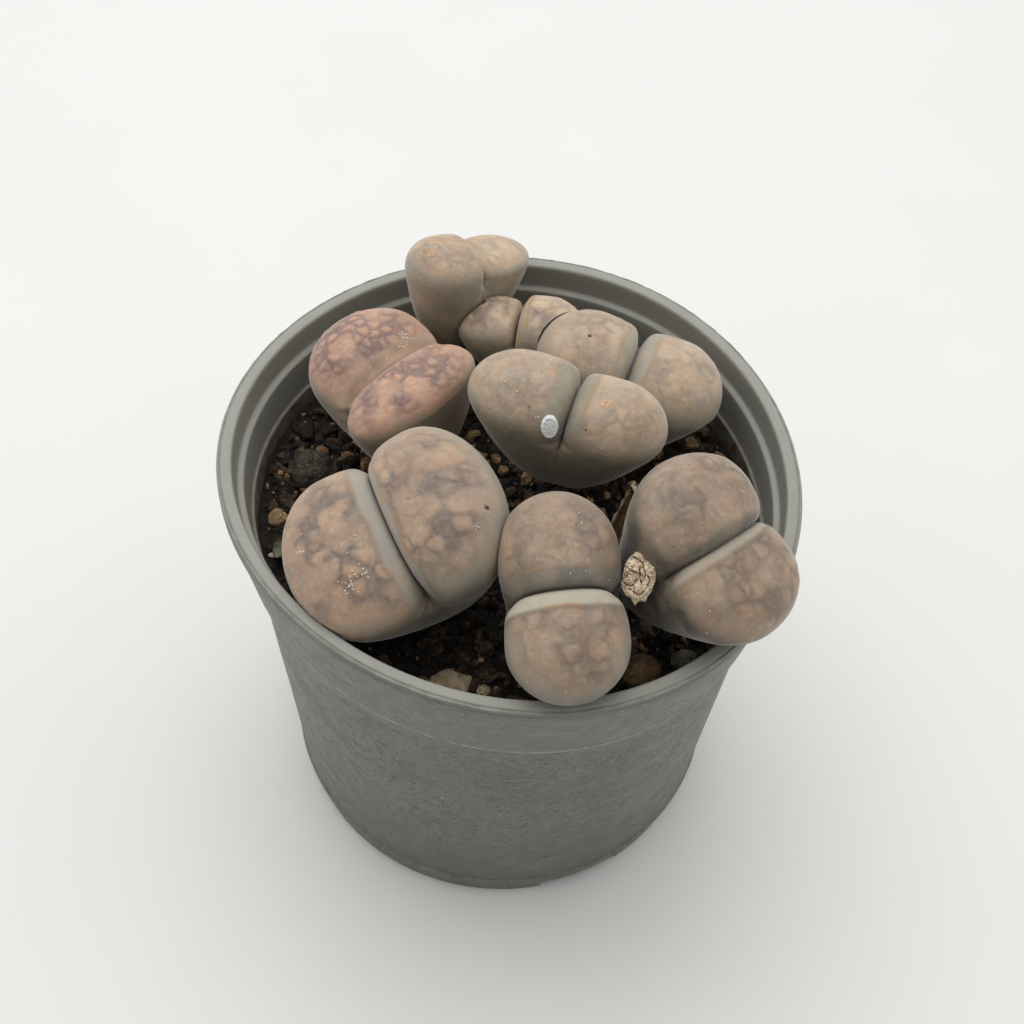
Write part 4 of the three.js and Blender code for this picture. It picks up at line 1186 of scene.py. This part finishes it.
def make_head(name, head):
    """A head with its shallow dents, and what its skin is like at each point."""
    directions, triangles = ball(BODY_DETAIL)
    body = make_object("body", to_pot(head, body_points(head, 0, directions)), triangles)
    piece = fused(*[make_leaf(head, leaf, side) for leaf, side in sides_of(head)], body)
    soften(piece, 1 - smooth_step(*SOFT_HEIGHTS, to_head(head, points_of(piece))[:, 2]), SOFT_ROUNDS)
    combine(piece, rim_space(), "DIFFERENCE")
    cut_by_heads(piece, head["pressed_by"], LEAF_GAP)
    piece.name = name + "_leaves"
    points = points_of(piece)
    for field, values in head_fields(head, to_head(head, points)).items():
        set_field(piece, field, values)
    # Painted shade: how near the soil each point is, so that the material can darken and brown the skin
    # there.
    set_field(piece, "low", 1 - smooth_step(SOIL_TOP + 1, SOIL_TOP + 13, points[:, 2]))
    return piece


# Soil and what lies on it
def soil_height(x, y):
    slow = wander(on_plane(x / 9, y / 9), 31) - 0.5
    quick = wander(on_plane(x / 3.2, y / 3.2), 32) - 0.5
    return SOIL_TOP + SOIL_UNEVENNESS * (slow + 0.8 * quick)


def make_soil():
    floor = FLOOR_TOP + SOIL_GAP
    edge = inner_radius(SOIL_TOP) - 0.15
    profile = [(0, floor), (inner_radius(floor) - 2.2, floor)]
    profile += [(inner_radius(floor + 2) - SOIL_GAP, floor + 2), (edge - 0.1, SOIL_TOP - 1)]
    profile += [(edge * (1 - ring / SOIL_RINGS), SOIL_TOP) for ring in range(SOIL_RINGS + 1)]
    soil = spun("soil_bed", np.array(profile, float), SOIL_SEGMENTS)
    points = points_of(soil)
    top = points[:, 2] > SOIL_TOP - 0.01
    flat = points * (1, 1, 0)
    crumbs = 1.1 * rough(flat, 2.6, 91) + 0.7 * rough(flat, 0.9, 92)
    points[:, 2] = np.where(top, soil_height(points[:, 0], points[:, 1]) + crumbs, points[:, 2])
    move_points(soil, pressed_out_of_round(points))
    cut_by_heads(soil, HEADS, SOIL_HOLE_GAP)
    return settle(soil, "soil", soil_surface(), "soil")


def make_stone(name, place, size, turn, sunk, look, surface):
    """An uneven lump of stone with a broken skin, part sunk in the soil."""
    directions, triangles = ball(LARGE_STONE_DETAIL if size[0] > LARGE_STONE else STONE_DETAIL)
    salt = len(name) + size[0]
    reach = 0.84 + 0.32 * wander(directions * 1.7 + 9, salt)
    points = directions * reach[:, None] * np.array(size) / 2
    chipped = 0.09 * rough(points, 0.5 * size[0], salt + 5, 4) * size[0] + 0.1 * rough(points, 0.7, salt + 9)
    if look == "mossy":
        chipped = chipped + 0.8 * rough(points, 1.3, salt + 11) - 0.3
    if look == "pored":
        chipped = chipped + 1.2 * rough(points, 2.0, salt + 12) + 0.4 * rough(points, 0.8, salt + 13)
    middle = (*place, soil_height(*place)[0] + size[2] * (0.5 - sunk))
    points = turned(points + directions * chipped[:, None], turn) + middle
    stone = make_object(name + "_rock", points, triangles)
    return settle(stone, STONE_SLOTS[look], surface, name, sharp_angle=38)


def clear_of(trees, point, gap):
    """Whether a point is outside every solid and at least the gap away from it."""
    for tree in trees:
        spot, normal, unused, distance = tree.find_nearest(point, 30)
        if spot is not None and (distance < gap or (Vector(point) - spot).dot(normal) < 0):
            return False
    return True


def make_chips(trees, surfaces):
    """Bark chips, crumbs and grit on the soil, seeded, each kind one piece."""
    rng = np.random.default_rng(SEED)
    shapes = []
    for frequency, corner in ((1, 0.25), (2, 0.6)):
        directions, triangles = ball(frequency)
        shapes.append((directions / np.abs(directions).max(axis=1)[:, None] ** corner, triangles))
    limit = inner_radius(SOIL_TOP) - 0.9
    for name, kind in CHIP_KINDS.items():
        points = []
        faces = []
        count = 0
        for number in range(int(CHIP_COUNT * kind["share"])):
            radius = limit * math.sqrt(rng.random())
            angle = 2 * math.pi * rng.random()
            length = mix(*kind["lengths"], rng.random() ** 2.6)
            width = length * mix(*kind["slims"], rng.random())
            thick = max(CHIP_LEAST_THICK, width * mix(kind["thick"], 1, rng.random()))
            size = np.array([length, width, thick]) / 2
            turn = Matrix.Rotation(6.3 * rng.random(), 3, "Z")
            turn = turn @ Matrix.Rotation(rng.normal(0, CHIP_TILT), 3, "Y")
            lump, triangles = shapes[int(length > COARSE_CHIP)]
            knock = 1 + 0.5 * (rng.random(len(lump)) - 0.5)
            x = radius * math.cos(angle)
            y = radius * math.sin(angle)
            height = soil_height(x, y)[0] + size[2] * mix(-0.2, 1.0, rng.random()) + 0.2
            spot = pressed_out_of_round(np.array([[x, y, height]]))[0]
            pale_in_front = name == "chips_tan" and spot[1] < FEW_PALE_CHIPS_BEFORE
            rare = pale_in_front and (number % 4 or length > 1.5)
            if rare or radius + length / 2 > limit + 0.5 or not clear_of(trees, spot, 0.42 * length):
                continue
            points.append((lump * knock[:, None] * size) @ np.array(turn).T + spot)
            faces.append(triangles + count)
            count += len(lump)
        piece = make_object(name, np.concatenate(points), np.concatenate(faces))
        settle(piece, "soil", surfaces[name], sharp_angle=24)


def facing_frame(thing):
    """The turn of a thing that faces a given way, and its place."""
    facing = Vector(thing["facing"]).normalized()
    turn = Quaternion(facing, math.radians(thing["roll"])) @ Vector((0, 0, 1)).rotation_difference(facing)
    return np.array(turn.to_matrix()), np.array([*thing["place"], RIM_HEIGHT + thing["height"]])


def husk_crevice(u, v):
    """How near each place on the husk is to one of its folds, from 0 to 1: the folds are carved into the
    husk and painted dark as painted shade.
    """
    flat = on_plane(u, v)
    bent = flat + 0.3 * on_plane(rough(flat, 0.8, 15), rough(flat, 0.8, 16))
    breadth = 0.05 + 0.1 * wander(flat / 0.5, 12)
    crevice = 0
    for depth, route in HUSK_FOLDS:
        line = smooth_route([(x, y, -RIM_HEIGHT) for x, y in route], 6)
        crevice = np.maximum(crevice, depth * np.exp(-(distance_to_route(bent, line) / breadth) ** 2))
    wrinkle = np.minimum(np.abs(rough(flat, 0.7, 17)), np.abs(rough(flat, 0.36, 18)) + 0.02)
    present = smooth_step(0.35, 0.6, wander(flat / 0.9, 13))
    return np.maximum(crevice, 0.5 * present * np.exp(-(wrinkle / 0.035) ** 2))


def husk_form(u, v):
    """How high the husk's disc, valve, knob and raised rim stand at each place, in millimetres."""
    height = 0
    for middle_u, middle_v, half_u, half_v, rise in HUSK_BUMPS:
        out = ((u - middle_u) / half_u) ** 2 + ((v - middle_v) / half_v) ** 2
        height = height + rise * np.exp(-out ** 1.6)
    return height


def make_capsule():
    """Dried seed capsule: a crumpled almond-shaped husk of folded valves on a short stalk."""
    directions, triangles = ball(HUSK_DETAIL, HUSK_CROWDING)
    x, y, z = directions.T
    angle = np.arctan2(y, x)
    frill = 1 + 0.22 * rough(directions, 0.3, 17) + 0.2 * rough(directions, 0.12, 18)
    for tip, reach, spread in HUSK_TIPS:
        apart = np.abs((angle - math.radians(tip) + np.pi) % (2 * np.pi) - np.pi)
        frill = frill + reach * np.exp(-(apart / spread) ** 2)
    frill = frill * (0.86 + 0.06 * np.cos(2 * angle))
    u = x * CAPSULE["width"] * frill
    v = y * CAPSULE["half"] * frill
    flat = on_plane(u, v)
    crinkle = 0.45 * rough(flat, 1.0, 19) + 0.3 * rough(flat, 0.34, 20)
    carved = crinkle + husk_form(u, v) - 0.5 * husk_crevice(u, v) + 0.2 * np.hypot(x, y) ** 3
    height = CAPSULE["thick"] * np.where(z > 0, 0.65, 1.4) * z + smooth_step(0.0, 0.3, z) * carved
    turn, place = facing_frame(CAPSULE)
    husk = make_object("seed_capsule_husk", np.column_stack([u, v, height]) @ turn.T + place, triangles)
    low, high = STALK_HEIGHTS
    stalk_profile = [(0, low), (STALK_RADII[0], low), (STALK_RADII[1], high), (0, high)]
    stalk = spun("stalk", rounded(stalk_profile, 0.2, 0.5), STALK_SEGMENTS)
    spots = points_of(stalk)
    spots = spots + spots * (1, 1, 0) * 0.25 * rough(spots, 0.8, 19)[:, None]
    move_points(stalk, spots @ turn.T + place)
    combine(husk, stalk, "UNION")
    cut_by_heads(husk, ("head_right", "head_front_middle"), TOUCH_GAP)
    final = (points_of(husk) - place) @ turn
    # Painted shade: near 1 in the crevices on top, and half on the underside and stalk.
    set_field(husk, "crevice_shade", np.where(final[:, 2] > -0.3, husk_crevice(final[:, 0], final[:, 1]), 0.5))
    return settle(husk, "dry_plant", capsule_surface(), "seed_capsule")


def make_dry_leaf():
    """Papery dead leaf: a thin cupped strip with a ragged edge, along its curling route."""
    route = smooth_route(DRY_LEAF_ROUTE, DRY_LEAF_STEPS)
    side, face = route_frames(route, (0.8, 0.5, 0.3))[1:]
    across = np.linspace(-1, 1, DRY_LEAF_COLUMNS)
    rows = len(route)
    share = np.linspace(0, 1, rows)
    width = DRY_LEAF_WIDTH / 2 * (1 - 0.45 * share ** 3)
    line = across * (width * (1 + 0.09 * np.sin(42 * share)))[:, None]
    cup = 0.63 * (0.4 - across ** 2) * width[:, None] + 0.12 * np.sin(9 * across + 11 * share[:, None])
    middle = route[:, None] + line[..., None] * side[:, None] + cup[..., None] * face[:, None]
    lift = face[:, None] * DRY_LEAF_THICK / 2
    points = np.concatenate([(middle + lift).reshape(-1, 3), (middle - lift).reshape(-1, 3)])
    top = grid_faces(rows, DRY_LEAF_COLUMNS, columns_close=False)
    number = np.arange(rows * DRY_LEAF_COLUMNS).reshape(rows, DRY_LEAF_COLUMNS)
    border = np.concatenate([number[:-1, 0], number[-1, :-1], number[:0:-1, -1], number[0, :0:-1]])
    after = np.roll(border, -1)
    edges = np.column_stack([border, after, after + number.size, border + number.size])
    faces = np.concatenate([top, top[:, [0, 3, 2, 1]] + number.size, edges])
    piece = make_object("dry_leaf_curl", points, faces)
    cut_by_heads(piece, ("head_right", "head_centre", "head_front_middle", "head_back_right"), TOUCH_GAP)
    spots = points_of(piece)
    nearest = np.linalg.norm(spots[:, None] - route[None], axis=2).argmin(1)
    sideways = np.abs(np.sum((spots - route[nearest]) * side[nearest], axis=1)) / width[nearest]
    set_field(piece, "edge", smooth_step(0.75, 0.98, sideways) + (share[nearest] > 0.97))
    return settle(piece, "dry_plant", paper_surface(), "dry_leaf", sharp_angle=50)


def make_fleck():
    directions, triangles = ball(SMALL_DETAIL)
    out = np.hypot(directions[:, 0], directions[:, 1])
    rim = np.exp(-((out - 0.82) / 0.12) ** 2) * (directions[:, 2] > 0)
    grain = 0.1 * rough(directions, 0.3, 22)
    points = directions * (FLECK["half"], FLECK["width"], FLECK["thick"]) * (1 + grain)[:, None]
    points[:, 2] = np.where(points[:, 2] > 0, 0.62 * points[:, 2] + 0.12 * rim, points[:, 2])
    turn, place = facing_frame(FLECK)
    piece = make_object("white_fleck_crust", points @ turn.T + place, triangles)
    set_field(piece, "edge", rim)
    return settle(piece, "white_fleck", fleck_surface(), "white_fleck")


def tube(name, route, radii, sides):
    """A closed tube with blunt ends along a route."""
    ahead, side, face = route_frames(route, (0.3, 0.2, 0.9))
    angles = turns(sides)[:, None]
    rings = []
    for point, a, b, radius in zip(route, side, face, radii):
        rings.append(point + radius * (np.cos(angles) * a + np.sin(angles) * b))
    tips = [route[:1] - ahead[:1] * radii[0] * 0.3, route[-1:] + ahead[-1:] * radii[-1] * 0.3]
    return make_object(name, np.concatenate(rings + tips), capped_faces(len(route), sides))


def make_twig():
    route = smooth_route(TWIG_ROUTE, TWIG_STEPS)
    share = np.linspace(0, 1, len(route))
    radii = TWIG_RADIUS * (0.75 + 0.35 * np.sin(9 * share) ** 2) * np.minimum(1, 0.4 + 6 * (1 - share))
    return settle(tube("twig_curl", route, radii, TWIG_SIDES), "twig", twig_surface(), "twig")


def make_seedling():
    """One plump leaf on a short stem."""
    directions, triangles = ball(SMALL_DETAIL)
    points = directions * (SEEDLING["length"], SEEDLING["width"], SEEDLING["thick"]) / 2
    points[:, 1] *= 1 - 0.25 * directions[:, 0]
    points[:, 2] += -0.12 * np.exp(-(points[:, 1] / 0.3) ** 2) * (directions[:, 2] > 0)
    points += directions * 0.12 * rough(directions, 0.7, 25)[:, None]
    points = turned(points, -SEEDLING["lean"], "Y") + SEEDLING["leaf_place"]
    leaf = make_object("seedling_leaf", points, triangles)
    radius = SEEDLING["stem_radius"]
    low, high = SEEDLING["stem_heights"]
    stem_profile = [(0, low), (radius, low), (radius, high), (0, high)]
    combine(leaf, spun("stem", rounded(stem_profile, 0.2, 0.6), 20), "UNION")
    place = SEEDLING["place"]
    move_points(leaf, turned(points_of(leaf), SEEDLING["turn"]) + (*place, soil_height(*place)[0]))
    return settle(leaf, "seedling_green", seedling_surface(), "seedling")


# Small marks that lie on the heads
def spot_on(tree, x, y):
    """The place on a head that is seen from above at x and y, and the skin's direction there."""
    spot, normal = tree.ray_cast((x, y, SEEN_FROM), (0, 0, -1))[:2]
    return None if spot is None else (np.array(spot), np.array(normal))


def make_crystals(trees):
    """Grains of dried salt and sand, in small clusters and scattered."""
    rng = np.random.default_rng(SEED + 1)
    shape, triangles = ball(2)
    points = []
    grains = [(name, *cluster) for name, clusters in CRYSTAL_CLUSTERS.items() for *cluster, count in clusters
              for unused in range(count)]
    for name, x, y, spread in grains:
        found = spot_on(trees[name], x + spread * rng.normal() * 0.6, y + spread * rng.normal() * 0.6)
        if found is None:
            continue
        spot, normal = found
        size = rng.uniform(*CRYSTAL_SIZES)
        lump = shape * (1 + 0.5 * (rng.random(len(shape)) - 0.5))[:, None] * size
        points.append(lump * (1.2, 1, 0.8) + spot + normal * 0.3 * size)
    faces = np.concatenate([triangles + n * len(shape) for n in range(len(points))])
    piece = make_object("dried_salt_grains", np.concatenate(points), faces)
    return settle(piece, "stone_pale", crystal_surface(), sharp_angle=30)


def make_scars(trees):
    """Healed scars: small raised rings on the skin."""
    rings = []
    for name, x, y, length, width, turn in SCAR_RINGS:
        angles = turns(SCAR_STEPS)
        wobble = 1 + 0.12 * np.sin(3 * angles + 1)
        outline = turned(on_plane(length * np.cos(angles) * wobble, width * np.sin(angles) * wobble), turn)
        ring = [spot_on(trees[name], x + dx, y + dy) for dx, dy, unused in outline]
        middle = np.mean([spot for spot, normal in ring], axis=0)
        for spot, normal in ring:
            out = (spot - middle) / np.linalg.norm(spot - middle)
            bend = turns(SCAR_SIDES)[:, None]
            rings.append(spot + SCAR_BREADTH * np.cos(bend) * out + SCAR_HEIGHT * np.sin(bend) * normal)
    faces = grid_faces(SCAR_STEPS, SCAR_SIDES, rows_close=True)
    faces = np.concatenate([faces + n * SCAR_STEPS * SCAR_SIDES for n in range(len(SCAR_RINGS))])
    piece = make_object("leaf_scars", np.concatenate(rings), faces)
    return settle(piece, "leaf_taupe", scar_surface())


def make_camera():
    """The camera at the photograph's angle."""
    data = bpy.data.cameras.new("camera")
    data.lens = CAMERA_LENS
    data.sensor_width = SENSOR_WIDTH
    data.clip_start = 0.01
    camera = bpy.data.objects.new("camera", data)
    bpy.context.scene.collection.objects.link(camera)
    axes = Matrix((CAMERA_RIGHT, [-v for v in CAMERA_DOWN], [-v for v in CAMERA_AHEAD])).transposed()
    camera.matrix_world = Matrix.Translation(CAMERA_PLACE) @ axes.to_4x4()
    bpy.context.scene.camera = camera


def make_floor():
    corners = [(-FLOOR_HALF, -FLOOR_HALF, 0), (FLOOR_HALF, -FLOOR_HALF, 0)]
    corners += [(-x, -y, z) for x, y, z in corners]
    floor = make_object("floor", corners, [(0, 1, 2, 3)])
    floor.data.materials.append(floor_surface())
    move_points(floor, points_of(floor) * METRES)


def make_light():
    """One broad soft lamp over the back of the pot."""
    data = bpy.data.lights.new("overhead", "AREA")
    data.shape = "DISK"
    data.size = LAMP_SIZE
    data.energy = LAMP_POWER
    light = bpy.data.objects.new("overhead", data)
    light.location = LAMP_PLACE
    light.rotation_mode = "QUATERNION"
    light.rotation_quaternion = (Vector(LAMP_TARGET) - Vector(LAMP_PLACE)).to_track_quat("-Z", "Y")
    bpy.context.scene.collection.objects.link(light)


def make_sky():
    """Pale light from all round, strongest from above and behind, with hardly any from in front."""
    world = bpy.data.worlds.new("studio")
    world.use_nodes = True
    sky = Nodes(world.node_tree)
    background = sky.tree.nodes["Background"]
    background.inputs["Color"].default_value = (*SKY_TINT, 1)
    direction = sky.tree.nodes.new("ShaderNodeTexCoord").outputs["Generated"]
    parts = sky.node("SeparateXYZ", {0: direction}).outputs
    horizon = sky.ramp(parts["Y"], -0.75, 0.0, SKY_FRONT, SKY_SIDE)
    height = sky.maths("MULTIPLY_ADD", parts["Y"], SKY_TILT, parts["Z"])
    strength = sky.ramp(height, 0.1, 0.95, horizon, SKY_ZENITH)
    sky.tree.links.new(strength, background.inputs["Strength"])
    bpy.context.scene.world = world


make_camera()
make_floor()
make_sky()
make_light()
bpy.context.scene.view_settings.view_transform = "Standard"

heads = {name: make_head(name, head) for name, head in HEADS.items()}
depsgraph = bpy.context.evaluated_depsgraph_get()
head_trees = {name: BVHTree.FromObject(piece, depsgraph) for name, piece in heads.items()}
make_chips(head_trees.values(), {
    "chips_dark": grain_surface("bark_dark", (15, 12, 9), (32, 25, 18), (70, 57, 43)),
    "chips_brown": grain_surface("bark_brown", (36, 26, 18), (72, 54, 38), (122, 98, 70)),
    "chips_tan": grain_surface("grit_tan", (112, 84, 56), (160, 124, 88), (200, 170, 132)),
})
make_crystals(head_trees)
make_scars(head_trees)
for name, piece in heads.items():
    look = HEADS[name]["look"]
    slot = "leaf_pink" if look == "pink" else "leaf_taupe"
    settle(piece, slot, leaf_surface(name, LEAF_LOOKS[look]), name, sharp_angle=42)

make_pot()
make_soil()
stone_surfaces = {
    "mossy": grain_surface("stone_mossy", (36, 33, 27), (68, 64, 53), (106, 101, 83), 0.95),
    "tan": grain_surface("stone_tan", (112, 92, 64), (156, 130, 94), (196, 174, 136)),
    "pored": pored_surface("stone_pored", (158, 138, 112), (190, 170, 142), (76, 60, 44)),
    "pale": pored_surface("stone_pale", (196, 186, 160), (222, 214, 190), (140, 124, 96)),
    "brown": grain_surface("stone_brown", (70, 52, 36), (130, 100, 70), (168, 138, 104)),
    "grey": grain_surface("stone_grey", (74, 68, 58), (122, 116, 104), (170, 164, 150)),
}
for name, (*stone, look) in STONES.items():
    make_stone(name, *stone, look, stone_surfaces[look])
make_capsule()
make_dry_leaf()
make_fleck()
make_twig()
make_seedling()
